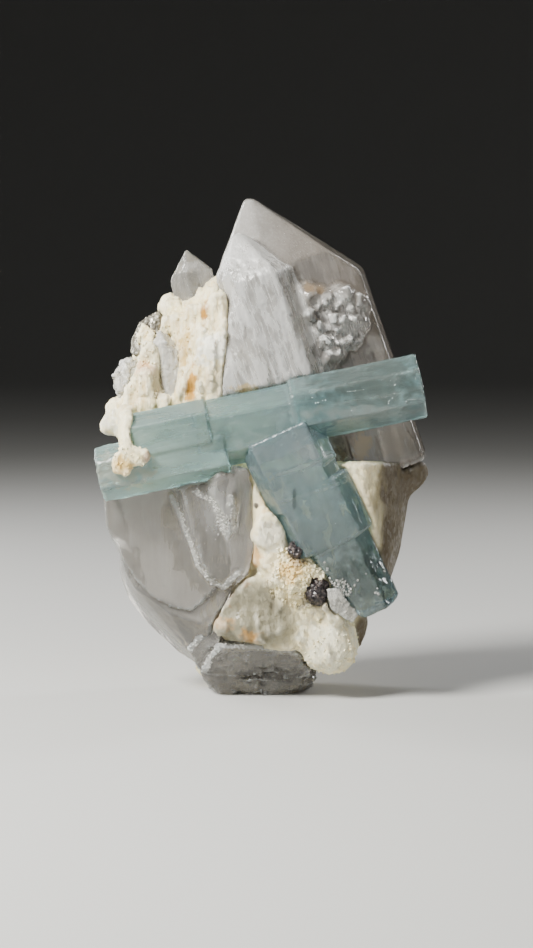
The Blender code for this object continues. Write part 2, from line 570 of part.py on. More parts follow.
def build():
    for obj in list(bpy.data.objects):
        bpy.data.objects.remove(obj)

    beryl = finish_material("pale_aquamarine", (0.34, 0.47, 0.46), 0.12)
    deep_beryl = finish_material("deep_aquamarine", (0.18, 0.27, 0.27), 0.16)
    smoky = finish_material("smoky_quartz", (0.36, 0.34, 0.32), 0.10)
    grey_quartz = finish_material("grey_quartz", (0.42, 0.41, 0.40), 0.25)
    white_quartz = finish_material("white_quartz", (0.62, 0.62, 0.62), 0.35)
    feldspar = finish_material("cream_feldspar", (0.68, 0.62, 0.50), 0.60)
    mica = finish_material("silver_mica", (0.50, 0.49, 0.46), 0.28)
    dark = finish_material("dark_mineral", (0.03, 0.028, 0.03), 0.35)

    long_beryl = long_aquamarine_cells()
    slanted = slanted_aquamarine_cells()
    tall = tall_quartz_cells()
    lower = lower_quartz_cells()
    foot = quartz_foot_cells()
    point = small_point_cells()
    prism = small_prism_cells()
    knob = left_knob_cells()
    shard = shard_cells()
    book = mica_cells()
    large_grain = dark_grain_cells(large=True)
    small_grain = dark_grain_cells(large=False)
    rock = core_cells() + upper_feldspar_cells() + drape_cells() + middle_feldspar_cells() + right_feldspar_cells()

    make_piece("long_aquamarine", long_beryl, beryl)
    make_piece("slanted_aquamarine", slanted, deep_beryl, [long_beryl])
    make_piece("tall_quartz", tall, smoky, [long_beryl, slanted])
    make_piece("lower_quartz", lower, grey_quartz, [long_beryl, slanted, tall])
    make_piece("quartz_foot", foot, grey_quartz, [lower])
    make_piece("small_quartz_point", point, grey_quartz, [tall])
    make_piece("small_quartz_prism", prism, white_quartz, [long_beryl])
    make_piece("left_quartz_knob", knob, white_quartz, [prism])
    make_piece("quartz_shard", shard, white_quartz, [slanted])
    make_piece("mica_book", book, mica, [prism])
    make_piece("dark_grain_large", large_grain, dark, [slanted, shard])
    make_piece("dark_grain_small", small_grain, dark, [slanted])
    seated = [long_beryl, slanted, tall, lower, foot, point, prism, knob, shard, book, large_grain, small_grain]
    make_piece("feldspar_matrix", rock, feldspar, seated)


build()
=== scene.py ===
# %% [markdown]
# # Dressing an aquamarine specimen
# This file is a lesson in cells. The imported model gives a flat-faced solid for every crystal, and one for
# the rock that they sit in, at true size. Here each solid is turned into a fine mesh, its surface is broken,
# etched or striated the way that mineral's is, and it gets a finish of its own. The clear minerals are lit
# through, and the rock is grainy and stained. One Blender unit is one metre, so a millimetre is 0.001.

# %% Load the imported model
import math

import bmesh
import bpy
import numpy as np
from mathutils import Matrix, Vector


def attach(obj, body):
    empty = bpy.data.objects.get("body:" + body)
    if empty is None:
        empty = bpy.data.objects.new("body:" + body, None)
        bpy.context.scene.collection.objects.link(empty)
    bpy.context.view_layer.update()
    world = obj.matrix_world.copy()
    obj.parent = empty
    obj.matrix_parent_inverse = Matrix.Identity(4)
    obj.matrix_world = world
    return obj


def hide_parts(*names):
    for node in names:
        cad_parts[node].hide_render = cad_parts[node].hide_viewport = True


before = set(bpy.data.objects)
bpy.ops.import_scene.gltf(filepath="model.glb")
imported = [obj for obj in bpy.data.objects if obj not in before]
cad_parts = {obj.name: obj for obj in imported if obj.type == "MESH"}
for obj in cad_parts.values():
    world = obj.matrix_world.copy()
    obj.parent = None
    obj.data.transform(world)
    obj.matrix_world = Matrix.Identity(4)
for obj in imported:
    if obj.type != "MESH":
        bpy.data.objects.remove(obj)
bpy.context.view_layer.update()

MM = 0.001
print("nodes:", ", ".join(sorted(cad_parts)))

# %% [markdown]
# ## Short ways to wire nodes
# Geometry Nodes and materials are both node trees, so the same few helpers build them all. A value handed
# to a helper may be a plain number or another node's socket: `wire` tells them apart, and sets the one or
# links the other.

# %% Node helpers
def wire(tree, socket, value):
    if isinstance(value, bpy.types.NodeSocket):
        tree.links.new(value, socket)
    else:
        socket.default_value = value


def add_node(tree, kind, inputs=None, **settings):
    """A node of this kind, with its settings made and its inputs wired."""
    made = tree.nodes.new(kind)
    for key, value in settings.items():
        setattr(made, key, value)
    for key, value in (inputs or {}).items():
        wire(tree, made.inputs[key], value)
    return made


def sums(tree, operation, *values, clamp=False):
    """The result of a Math node."""
    made = add_node(tree, "ShaderNodeMath", operation=operation, use_clamp=clamp)
    for socket, value in zip(made.inputs, values):
        wire(tree, socket, value)
    return made.outputs[0]


def vectors(tree, operation, *values):
    """The result of a Vector Math node: a number for a dot product or a length, and a vector otherwise."""
    made = add_node(tree, "ShaderNodeVectorMath", operation=operation)
    for key, value in enumerate(values):
        wire(tree, made.inputs["Scale" if operation == "SCALE" and key == 1 else key], value)
    return made.outputs["Value" if operation in ("DOT_PRODUCT", "LENGTH") else "Vector"]


def remap(tree, value, low, high, to_low=0.0, to_high=1.0):
    """The value moved smoothly from one range to another, and held at the ends."""
    made = add_node(tree, "ShaderNodeMapRange", {"Value": value}, interpolation_type="SMOOTHSTEP")
    ends = {"From Min": low, "From Max": high, "To Min": to_low, "To Max": to_high}
    for key, number in ends.items():
        wire(tree, made.inputs[key], number)
    return made.outputs["Result"]


def new_group(title, kind, inputs, outputs):
    """An empty group; inputs map each name to a default or a socket type, and outputs to a socket type."""
    group = bpy.data.node_groups.new(title, kind)
    for key, default in inputs.items():
        if isinstance(default, str):
            group.interface.new_socket(key, in_out="INPUT", socket_type=default)
            continue
        size = "NodeSocketVector" if isinstance(default, tuple) else "NodeSocketFloat"
        group.interface.new_socket(key, in_out="INPUT", socket_type=size).default_value = default
    for key, socket_type in outputs.items():
        group.interface.new_socket(key, in_out="OUTPUT", socket_type=socket_type)
    given, result = group.nodes.new("NodeGroupInput"), group.nodes.new("NodeGroupOutput")
    return group, given.outputs, result.inputs


def stretched(tree, position, axis, along, across):
    """The position in texture space, where features have these sizes along and across the axis."""
    depth = vectors(tree, "DOT_PRODUCT", position, axis)
    lengthwise = vectors(tree, "SCALE", axis, depth)
    crosswise = vectors(tree, "SUBTRACT", position, lengthwise)
    lengthwise = vectors(tree, "SCALE", lengthwise, sums(tree, "DIVIDE", 1.0, along))
    crosswise = vectors(tree, "SCALE", crosswise, sums(tree, "DIVIDE", 1.0, across))
    return vectors(tree, "ADD", lengthwise, crosswise)


print("helpers for both kinds of node tree: wire, add_node, sums, vectors, remap, new_group, stretched")

# %% [markdown]
# ## From a flat-faced solid to a mesh that can be carved
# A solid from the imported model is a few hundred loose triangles. A voxel remesh lays an even net over it, so
# that a later step can push any point in or out. It costs a little sharpness at the edges, which suits
# natural crystals: their edges are always slightly nicked. Grains that overlap the solid are fused with it
# on the way, which is the easiest way to grow a crumbly crust on a crystal.

# %% Copy and net
MERGE_MM = 0.002


def new_object(title, mesh):
    obj = bpy.data.objects.new(title, mesh)
    bpy.context.scene.collection.objects.link(obj)
    return obj


def piece_of(node, title):
    """A new object with a merged copy of this node's mesh."""
    shape = bmesh.new()
    shape.from_mesh(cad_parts[node].data)
    bmesh.ops.remove_doubles(shape, verts=shape.verts, dist=MERGE_MM * MM)
    mesh = bpy.data.meshes.new(title)
    shape.to_mesh(mesh)
    shape.free()
    return new_object(title, mesh)


def applied(obj):
    """Turns the object's modifiers into plain mesh."""
    bpy.context.view_layer.update()
    evaluated = obj.evaluated_get(bpy.context.evaluated_depsgraph_get())
    result = bpy.data.meshes.new_from_object(evaluated)
    obj.modifiers.clear()
    obj.data = result
    return obj


def netted(obj, spacing_mm):
    """Lays an even net of this spacing over the object."""
    net = obj.modifiers.new("net", "REMESH")
    net.mode = "VOXEL"
    net.voxel_size = spacing_mm * MM
    net.use_smooth_shade = True
    return applied(obj)


print(f"solids are merged within {MERGE_MM} mm before they are netted")

# %% [markdown]
# ## Places on a piece
# Where a crystal is frosted, or a rock is crumbly, is known by place. Each point of the net gets a number
# between 0 and 1, a mask, which Geometry Nodes and materials read later by its name. Masks are worked out
# from a few named shapes: a ramp between two levels, an ellipsoid round a centre, and a line that is seen
# from the front. Numpy does this for all points at once, which is much quicker than a loop in Python.

# %% Points and masks
def points_mm(mesh):
    points = np.empty(len(mesh.vertices) * 3, np.float32)
    mesh.vertices.foreach_get("co", points)
    return points.reshape(-1, 3).astype(np.float64) / MM


def put_points_mm(mesh, points):
    mesh.vertices.foreach_set("co", (points * MM).astype(np.float32).ravel())
    mesh.update()


def vertex_normals(mesh):
    normals = np.empty(len(mesh.vertices) * 3, np.float32)
    mesh.vertex_normals.foreach_get("vector", normals)
    return normals.reshape(-1, 3).astype(np.float64)


def set_mask(mesh, title, values):
    """Stores one number for each point, which Geometry Nodes and materials can read by its name."""
    layer = mesh.attributes.get(title) or mesh.attributes.new(title, "FLOAT", "POINT")
    values = np.clip(np.broadcast_to(values, len(mesh.vertices)), 0, 1)
    layer.data.foreach_set("value", values.astype(np.float32))


def ramp(values, low, high):
    """0 at low and 1 at high, with a smooth rise between; low may be above high."""
    t = np.clip((values - low) / (high - low), 0, 1)
    return t * t * (3 - 2 * t)


def near(points, centre, radii):
    """1 at the centre of an ellipsoid, falling to 0 at its surface."""
    return ramp(np.linalg.norm((points - centre) / radii, axis=1), 1.0, 0.45)


def along(points, corners, width):
    """1 on the line through these (x, z) corners, as seen from the front, and 0 beyond this width."""
    flat = points[:, [0, 2]]
    nearest = np.full(len(points), np.inf)
    for start, end in zip(np.array(corners), np.array(corners)[1:]):
        step = end - start
        share = np.clip((flat - start) @ step / (step @ step), 0, 1)
        nearest = np.minimum(nearest, np.linalg.norm(flat - start - share[:, None] * step, axis=1))
    return ramp(nearest, width, 0.3 * width) * ramp(points[:, 1], 0.0, -3.0)


def push_out(mesh, distance_mm):
    """Moves every point along its normal; the distance may differ from point to point."""
    put_points_mm(mesh, points_mm(mesh) + vertex_normals(mesh) * np.reshape(distance_mm, (-1, 1)))


print("masks: ramp between levels, near a centre, along a line")

# %% [markdown]
# ## Closing gaps and evening the net
# The rock's solid is made of blocks, and thin gaps between them would look like cut joints. Swelling the
# mesh, netting it again and drawing it back closes them, as dilating and eroding does in image work. A
# voxel net also leaves tiny stairs on slanting faces. Averaging each point with its neighbours takes them
# out. The same average tells where the surface bends: what stands out of it is an edge, and what lies in it
# is a hollow. The finishes use both: edges for pale nicks and painted highlights, hollows for dirt and
# painted shade.

# %% Gaps, stairs and relief
def gaps_filled(obj, reach_mm, spacing_mm):
    """Closes gaps narrower than twice the reach: swells the mesh, nets it afresh and draws it back."""
    push_out(obj.data, reach_mm)
    netted(obj, spacing_mm)
    push_out(obj.data, -reach_mm)
    return obj


def neighbour_mean(mesh, values, rounds):
    """The values, evened out over neighbouring points this many times."""
    ends = np.empty(len(mesh.edges) * 2, np.int32)
    mesh.edges.foreach_get("vertices", ends)
    a, b = ends.reshape(-1, 2).T
    size = len(mesh.vertices)
    count = np.bincount(np.concatenate([a, b]), minlength=size).clip(1)
    for _ in range(rounds):
        total = np.bincount(a, values[b], size) + np.bincount(b, values[a], size)
        values = 0.5 * values + 0.5 * total / count
    return values


def evened(obj, rounds, kept=0.0):
    """Takes the small steps of the net out of slanting faces and edges, except where kept is 1."""
    points = points_mm(obj.data)
    flat = np.stack([neighbour_mean(obj.data, points[:, k], rounds) for k in range(3)], axis=1)
    put_points_mm(obj.data, flat + np.reshape(kept, (-1, 1)) * (points - flat))
    return obj


def off_the_mean(mesh, rounds):
    """How far, and which way, each point lies from the mean of its neighbourhood."""
    points = points_mm(mesh)
    return points - np.stack([neighbour_mean(mesh, points[:, k], rounds) for k in range(3)], axis=1)


def mark_relief(mesh, scale_mm, rounds=6):
    """Stores how far each point stands out of its neighbourhood (edge), or lies in it (hollow)."""
    height = (off_the_mean(mesh, rounds) * vertex_normals(mesh)).sum(axis=1) / scale_mm
    height = neighbour_mean(mesh, height, 2)
    set_mask(mesh, "edge", height)
    set_mask(mesh, "hollow", -height)


def rim_mask(mesh, rounds=3, scale_mm=0.03):
    """1 along the sharp edges of a netted solid and 0 on its flats."""
    bend = np.linalg.norm(off_the_mean(mesh, rounds), axis=1)
    return neighbour_mean(mesh, ramp(bend, scale_mm * 0.4, scale_mm), 2)


def triangle_count(mesh):
    mesh.calc_loop_triangles()
    return len(mesh.loop_triangles)


print("relief: gaps_filled, evened, mark_relief, rim_mask")

# %% [markdown]
# ## Broken, etched and striated surfaces
# Stone breaks along small flat faces. A Voronoi texture divides space into cells, and where each cell has
# its own slightly tilted plane, a smooth wall becomes a mosaic of facets with sharp steps between them. Cells
# that are stretched along a direction give a fibrous grain. A crystal's striations are noise that is
# stretched along the crystal. All of it is one Geometry Nodes tree with named inputs, and each piece runs it
# with its own values. Two masks on the points say where it acts: `broken` for facets and `combed` for
# streaks.

# %% The carving tree
def tilted_cells(tree, place):
    """The height of a mosaic of tilted planes, about -0.4 to 0.4, and the colour of each plane."""
    cells = add_node(tree, "ShaderNodeTexVoronoi", {"Vector": place, "Scale": 1.0})
    within = vectors(tree, "SUBTRACT", place, cells.outputs["Position"])
    tilt = vectors(tree, "SUBTRACT", cells.outputs["Color"], (0.5, 0.5, 0.5))
    return vectors(tree, "DOT_PRODUCT", within, tilt), cells.outputs["Color"]


def facet_group():
    inputs = {
        "Position": "NodeSocketVector", "Axis": (0.0, 0.0, 1.0), "Along": 1.0, "Across": 1.0, "Seed": 0.0,
    }
    group, given, result = new_group(
        "tilted facets", "GeometryNodeTree", inputs, {"Height": "NodeSocketFloat"}
    )
    place = stretched(group, given["Position"], given["Axis"], given["Along"], given["Across"])
    place = vectors(group, "ADD", place, vectors(group, "SCALE", (7.3, 3.1, 5.7), given["Seed"]))
    wire(group, result["Height"], tilted_cells(group, place)[0])
    return group


FACETS = facet_group()
CARVING_INPUTS = {
    "Geometry": "NodeSocketGeometry", "Material": "NodeSocketMaterial",
    "Axis": (0.0, 0.0, 1.0), "Seed": 0.0, "Swell": 0.0,
    "Chip Along": 0.002, "Chip Across": 0.002, "Chip Depth": 0.0,
    "Crumb Along": 0.0008, "Crumb Across": 0.0008, "Crumb Depth": 0.0,
    "Streak Along": 0.006, "Streak Across": 0.0006, "Streak Depth": 0.0,
    "Billow Along": 0.006, "Billow Across": 0.006, "Billow Depth": 0.0,
}


def stored(tree, title):
    """A number that the mesh holds for each point."""
    return add_node(tree, "GeometryNodeInputNamedAttribute", {"Name": title}, data_type="FLOAT").outputs[0]


def facet_height(tree, given, place, kind, seed):
    """One size of facet, as deep as its input says."""
    made = add_node(tree, "GeometryNodeGroup", node_tree=FACETS)
    values = {"Position": place, "Axis": given["Axis"], "Seed": seed}
    values |= {"Along": given[kind + " Along"], "Across": given[kind + " Across"]}
    for key, value in values.items():
        wire(tree, made.inputs[key], value)
    return sums(tree, "MULTIPLY", made.outputs["Height"], given[kind + " Depth"])


def noise_height(tree, given, place, kind, detail):
    """One size of noise, centred on no height."""
    place = stretched(tree, place, given["Axis"], given[kind + " Along"], given[kind + " Across"])
    noise = add_node(tree, "ShaderNodeTexNoise", {"Vector": place, "Scale": 1.0, "Detail": detail})
    return sums(tree, "MULTIPLY", sums(tree, "SUBTRACT", noise.outputs[0], 0.5), given[kind + " Depth"])


def carved_height(tree, given):
    """Chips and crumbs where the piece is broken, streaks where it is combed, and billows all over."""
    place = tree.nodes.new("GeometryNodeInputPosition").outputs[0]
    chips = facet_height(tree, given, place, "Chip", given["Seed"])
    crumbs = facet_height(tree, given, place, "Crumb", sums(tree, "ADD", given["Seed"], 11.0))
    broken = sums(tree, "MULTIPLY", sums(tree, "ADD", chips, crumbs), stored(tree, "broken"))
    streaks = noise_height(tree, given, place, "Streak", 2.0)
    combed = sums(tree, "MULTIPLY", streaks, stored(tree, "combed"))
    billows = noise_height(tree, given, place, "Billow", 3.0)
    return sums(tree, "ADD", sums(tree, "ADD", broken, combed), billows)


def dressed_result(tree, given, result, geometry):
    """The usual end of a tree: no instances are left, and the faces have their material."""
    real = add_node(tree, "GeometryNodeRealizeInstances", {"Geometry": geometry})
    dressed = {"Geometry": real.outputs[0], "Material": given["Material"]}
    wire(tree, result["Geometry"], add_node(tree, "GeometryNodeSetMaterial", dressed).outputs[0])


def carving_tree():
    tree, given, result = new_group(
        "carved surface", "GeometryNodeTree", CARVING_INPUTS, {"Geometry": "NodeSocketGeometry"}
    )
    outwards = tree.nodes.new("GeometryNodeInputNormal").outputs[0]
    offset = vectors(tree, "SCALE", outwards, sums(tree, "ADD", carved_height(tree, given), given["Swell"]))
    moved = add_node(tree, "GeometryNodeSetPosition", {"Geometry": given["Geometry"], "Offset": offset})
    dressed_result(tree, given, result, moved.outputs[0])
    return tree


def input_names(tree):
    return {item.name: item.identifier for item in tree.interface.items_tree if item.in_out == "INPUT"}


CARVING = carving_tree()
CARVING_NAMES = input_names(CARVING)
print(f"{CARVING.name}: {len(CARVING.nodes)} nodes; inputs {', '.join(CARVING_NAMES)}")

# %% [markdown]
# ## Running the carving
# The modifier's inputs are set by their identifiers, and the result is turned into plain mesh. Chips, crumbs,
# streaks and billows each take three sizes in millimetres: along the axis, across it, and deep. What isn't
# given stays away. A piece that stands on the table is held to the table's level, and the relief is measured
# last, on the final shape.

# %% Carve a piece
def carved(obj, material, axis, seed, swell, stand=None, relief_mm=0.12, relief_rounds=6, **sizes_mm):
    """Runs the carving tree; stand is the lowest level that the piece may reach."""
    for title in ("broken", "combed"):
        if title not in obj.data.attributes:
            set_mask(obj.data, title, 1.0)
    modifier = obj.modifiers.new("carving", "NODES")
    modifier.node_group = CARVING
    modifier[CARVING_NAMES["Material"]] = material
    modifier[CARVING_NAMES["Axis"]] = tuple(Vector(axis).normalized())
    modifier[CARVING_NAMES["Seed"]] = float(seed)
    modifier[CARVING_NAMES["Swell"]] = swell * MM
    for kind, size in sizes_mm.items():
        for part, value in zip(("Along", "Across", "Depth"), size):
            modifier[CARVING_NAMES[f"{kind.title()} {part}"]] = value * MM
    applied(obj)
    if stand is not None:
        points = points_mm(obj.data)
        points[:, 2] = np.maximum(points[:, 2], stand)
        put_points_mm(obj.data, points)
    mark_relief(obj.data, relief_mm, relief_rounds)
    obj.data.shade_smooth()
    print(f"{obj.name}: {triangle_count(obj.data)} triangles")
    return obj


# %% [markdown]
# ## A crust of grains
# Sugary albite and crumbled quartz are masses of small blocky grains. Geometry Nodes scatter points over the
# part of a surface where the mask `sugar` is high, and put a randomly turned and sized cube on each. A
# coarse crust keeps its base, and the voxel net then fuses the cubes with it into one skin. Fine sugar is
# made without the base: its grains stay loose and sharp, and are a piece of their own.

# %% The grain tree
GRAIN_INPUTS = {
    "Geometry": "NodeSocketGeometry", "Material": "NodeSocketMaterial",
    "Grain Size": 0.0008, "Grain Spacing": 0.0006, "Seed": 0.0, "Keep Base": "NodeSocketBool",
}


def random_vector(tree, low, high, seed):
    """A random vector for each point, between two numbers on every axis."""
    ends = {"Min": (low, low, low), "Max": (high, high, high), "Seed": seed}
    return add_node(tree, "FunctionNodeRandomValue", ends, data_type="FLOAT_VECTOR").outputs["Value"]


def scattered_cubes(tree, given):
    """A cube on each point of a Poisson scatter, which keeps the grains apart."""
    spacing = given["Grain Spacing"]
    most = sums(tree, "DIVIDE", 1.0, sums(tree, "MULTIPLY", spacing, spacing))
    seed = add_node(tree, "FunctionNodeFloatToInt", {0: given["Seed"]}).outputs[0]
    spread = add_node(
        tree, "GeometryNodeDistributePointsOnFaces",
        {"Mesh": given["Geometry"], "Distance Min": spacing, "Density Max": most,
         "Density Factor": stored(tree, "sugar"), "Seed": seed},
        distribute_method="POISSON",
    )
    size = add_node(tree, "ShaderNodeCombineXYZ", {k: given["Grain Size"] for k in range(3)})
    grain = add_node(tree, "GeometryNodeMeshCube", {"Size": size.outputs[0]})
    return add_node(
        tree, "GeometryNodeInstanceOnPoints",
        {"Points": spread.outputs["Points"], "Instance": grain.outputs["Mesh"],
         "Rotation": random_vector(tree, 0.0, math.tau, seed), "Scale": random_vector(tree, 0.5, 1.25, seed)},
    ).outputs[0]


def grain_tree():
    tree, given, result = new_group(
        "grain crust", "GeometryNodeTree", GRAIN_INPUTS, {"Geometry": "NodeSocketGeometry"}
    )
    kept = {"Switch": given["Keep Base"], "True": given["Geometry"]}
    base = add_node(tree, "GeometryNodeSwitch", kept, input_type="GEOMETRY")
    whole = tree.nodes.new("GeometryNodeJoinGeometry")
    tree.links.new(scattered_cubes(tree, given), whole.inputs[0])
    tree.links.new(base.outputs[0], whole.inputs[0])
    dressed_result(tree, given, result, whole.outputs[0])
    return tree


GRAINS = grain_tree()
GRAIN_NAMES = input_names(GRAINS)
print(f"{GRAINS.name}: {len(GRAINS.nodes)} nodes; inputs {', '.join(GRAIN_NAMES)}")


def crusted(obj, sugar, size_mm, spacing_mm, seed, material=None, keep_base=True):
    """Covers the surface with grains where sugar is high; without its base, only the grains are left."""
    set_mask(obj.data, "sugar", sugar)
    modifier = obj.modifiers.new("grains", "NODES")
    modifier.node_group = GRAINS
    modifier[GRAIN_NAMES["Grain Size"]] = size_mm * MM
    modifier[GRAIN_NAMES["Grain Spacing"]] = spacing_mm * MM
    modifier[GRAIN_NAMES["Seed"]] = float(seed)
    modifier[GRAIN_NAMES["Material"]] = material
    modifier[GRAIN_NAMES["Keep Base"]] = keep_base
    return applied(obj)


# %% [markdown]
# ## Shader groups that several finishes share
# Four effects come back in most of the finishes: clouds of colour, patches at a known place, from stains to
# painted shade and painted highlights, the wear, painted highlights and painted shade that a mesh's own relief
# gives, and a fine grain for the bump. Each is a group with named inputs, and gives only masks and heights,
# so every material keeps its own shader. They all start from the place in millimetres.

# %% Shared shader groups
FLOAT = "NodeSocketFloat"


def place_mm(group):
    """The place on the piece, in millimetres."""
    return vectors(group, "SCALE", group.nodes.new("ShaderNodeTexCoord").outputs["Object"], 1 / MM)


def cloud_group():
    """Soft clouds with these sizes along and across an axis; Cover moves their share of the surface."""
    inputs = {
        "Axis": (0.0, 0.0, 1.0), "Along": 4.0, "Across": 4.0, "Cover": 0.5, "Softness": 0.2, "Seed": 0.0,
    }
    group, given, result = new_group("clouds", "ShaderNodeTree", inputs, {"Mask": FLOAT})
    place = stretched(group, place_mm(group), given["Axis"], given["Along"], given["Across"])
    place = vectors(group, "ADD", place, vectors(group, "SCALE", (3.7, 9.1, 6.3), given["Seed"]))
    noise = add_node(
        group, "ShaderNodeTexNoise", {"Vector": place, "Scale": 1.0, "Detail": 5.0, "Distortion": 0.4}
    )
    middle = remap(group, given["Cover"], 0.0, 1.0, 0.72, 0.28)
    low = sums(group, "SUBTRACT", middle, given["Softness"])
    high = sums(group, "ADD", middle, given["Softness"])
    wire(group, result["Mask"], remap(group, noise.outputs[0], low, high))
    return group


def colour_patch_group():
    """A wobbly patch round a centre; the centre and the radii are in millimetres."""
    inputs = {"Centre": (0.0, 0.0, 0.0), "Radii": (2.0, 2.0, 2.0), "Wobble": 0.8, "Grain": 1.2}
    group, given, result = new_group("stain", "ShaderNodeTree", inputs, {"Mask": FLOAT})
    place = place_mm(group)
    reach = vectors(group, "DIVIDE", vectors(group, "SUBTRACT", place, given["Centre"]), given["Radii"])
    grained = vectors(group, "SCALE", place, sums(group, "DIVIDE", 1.0, given["Grain"]))
    noise = add_node(group, "ShaderNodeTexNoise", {"Vector": grained, "Scale": 1.0, "Detail": 4.0})
    wobble = sums(group, "MULTIPLY", sums(group, "SUBTRACT", noise.outputs[0], 0.5), given["Wobble"])
    distance = sums(group, "ADD", vectors(group, "LENGTH", reach), sums(group, "MULTIPLY", wobble, 3.0))
    wire(group, result["Mask"], remap(group, distance, 1.15, 0.55))
    return group


def relief_wear_and_light_group():
    """Edges and hollows from the mesh's stored relief, broken up by noise: for chipped edges and painted
    highlights, and for grime and painted shade.
    """
    outputs = {"Edge": FLOAT, "Hollow": FLOAT}
    group, given, result = new_group("wear_and_light", "ShaderNodeTree", {"Breakup": 0.5}, outputs)
    noise = add_node(group, "ShaderNodeTexNoise", {"Vector": place_mm(group), "Scale": 1.6, "Detail": 3.0})
    patchy = sums(group, "MULTIPLY", remap(group, noise.outputs[0], 0.35, 0.65), given["Breakup"])
    kept = sums(group, "SUBTRACT", 1.0, patchy)
    for key in ("Edge", "Hollow"):
        relief = add_node(group, "ShaderNodeAttribute", attribute_name=key.lower()).outputs["Fac"]
        wire(group, result[key], sums(group, "MULTIPLY", remap(group, relief, 0.15, 0.8), kept))
    return group


def grain_group():
    """Fine crystal grain: its height in millimetres, a random number for each grain, and its streaks."""
    inputs = {
        "Axis": (0.0, 0.0, 1.0), "Size": 0.6, "Length": 0.6, "Tilt": 0.2, "Grit": 0.02,
        "Streaks": 0.02, "Streak Width": 0.3,
    }
    outputs = {"Height": FLOAT, "Grain": FLOAT, "Streak": FLOAT}
    group, given, result = new_group("fine grain", "ShaderNodeTree", inputs, outputs)
    place = place_mm(group)
    small = stretched(group, place, given["Axis"], given["Length"], given["Size"])
    facets, shades = tilted_cells(group, small)
    grit = add_node(group, "ShaderNodeTexNoise", {"Vector": small, "Scale": 3.0, "Detail": 4.0})
    long_way = sums(group, "MULTIPLY", given["Streak Width"], 14.0)
    slim = stretched(group, place, given["Axis"], long_way, given["Streak Width"])
    streaks = add_node(group, "ShaderNodeTexNoise", {"Vector": slim, "Scale": 1.0, "Detail": 4.0})
    height = sums(group, "MULTIPLY", facets, sums(group, "MULTIPLY", given["Tilt"], given["Size"]))
    height = sums(group, "MULTIPLY_ADD", grit.outputs[0], given["Grit"], height)
    height = sums(group, "MULTIPLY_ADD", streaks.outputs[0], given["Streaks"], height)
    wire(group, result["Height"], height)
    wire(group, result["Grain"], vectors(group, "DOT_PRODUCT", shades, (1.0, 0.0, 0.0)))
    wire(group, result["Streak"], remap(group, streaks.outputs[0], 0.45, 0.68))
    return group


CLOUDS, COLOUR_PATCH, RELIEF_WEAR_AND_LIGHT, FINE_GRAIN = cloud_group(), colour_patch_group(), relief_wear_and_light_group(), grain_group()
print("shader groups:", ", ".join(group.name for group in (CLOUDS, COLOUR_PATCH, RELIEF_WEAR_AND_LIGHT, FINE_GRAIN)))

# %% [markdown]
# ## Mixing paint
# A finish is built up as paint is: a ground colour, then layers, each let through by a mask. Colours are
# written as they look on a screen, from 0 to 255, and turned into the linear values that shaders need.

# %% Colours and layers
def placed(tree, group, inputs=None):
    """A group node with these inputs; the names are the group's own."""
    made = add_node(tree, "ShaderNodeGroup", node_tree=group)
    for key, value in (inputs or {}).items():
        wire(tree, made.inputs[key], value)
    return made.outputs


def linear(red, green, blue):
    """A colour given as 0 to 255 on a screen, in the linear values that shaders use."""
    shares = [channel / 255 for channel in (red, green, blue)]
    return tuple(s / 12.92 if s <= 0.04045 else ((s + 0.055) / 1.055) ** 2.4 for s in shares) + (1.0,)


def blended(tree, factor, first, second, blend_type="MIX"):
    """Two colours mixed by a factor."""
    made = add_node(tree, "ShaderNodeMix", data_type="RGBA", blend_type=blend_type, clamp_factor=True)
    wire(tree, made.inputs[0], factor)
    wire(tree, made.inputs[6], first)
    wire(tree, made.inputs[7], second)
    return made.outputs[2]


def new_material(title):
    material = bpy.data.materials.new(title)
    material.use_nodes = True
    tree = material.node_tree
    tree.nodes.clear()
    shader = tree.nodes.new("ShaderNodeBsdfPrincipled")
    output = tree.nodes.new("ShaderNodeOutputMaterial")
    tree.links.new(shader.outputs[0], output.inputs["Surface"])
    return material, tree, shader, output


def bump_from(tree, shader, height_mm):
    bump = add_node(tree, "ShaderNodeBump", {"Height": height_mm, "Strength": 1.0, "Distance": MM})
    tree.links.new(bump.outputs[0], shader.inputs["Normal"])


def mesh_mask(tree, title):
    """A number that the mesh holds for each point; it is 0 on a mesh without it."""
    return add_node(tree, "ShaderNodeAttribute", attribute_name=title).outputs["Fac"]


def laid(tree, colour, mask, strength, tint):
    """One layer of a colour, let through by a mask, over what is there."""
    return blended(tree, sums(tree, "MULTIPLY", mask, strength), colour, linear(*tint))


def patched(tree, colour, stains):
    """Lays patches of colour, each with its centre and radii in millimetres, over a colour."""
    for centre, radii, tint, strength in stains:
        mask = placed(tree, COLOUR_PATCH, {"Centre": centre, "Radii": radii})["Mask"]
        colour = laid(tree, colour, mask, strength, tint)
    return colour


print("a layer is laid with blended, laid or stained")

# %% [markdown]
# ## Clear crystal
# A gem mineral lets light through, but specimen crystals are rarely clean: veils of tiny bubbles cloud them
# and their faces are etched. A plain glass shader would look like bottle glass. Here the Principled shader
# keeps a share of plain transmission with the mineral's true refractive index. Its other share scatters
# light as the veils do, and a Volume Absorption shader deepens the tint where the crystal is thick.
#
# Masks on the mesh say how the surface was treated. `frost` is whiter and rougher, with bare trails through
# it where the crystal is combed. `sparkle` is for crumbs: steep little facets, some of them glossy, with
# painted shade for the gaps between. Scratches run along the crystal, edges are whiter, as nicks and as a
# painted highlight, and hollows take a tint of their own, mostly darker, which is painted shade.

# %% The crystal finish
TRAILS = {"Along": 3.4, "Across": 1.3, "Cover": 0.5, "Softness": 0.16}
# Painted shade for the gaps between crumbs, and pale nicks with a painted highlight for the edges
GAP_SHADE_COLOUR, NICK_AND_HIGHLIGHT_COLOUR = (116, 112, 106), (246, 250, 250)
# Shares of each effect, for a finish that doesn't ask for others
USUAL = {"veil": 0.6, "bare": 0.3, "streak": 0.15, "scratches": 0.0, "drips": 0.02, "edge": 0.8, "stains": ()}


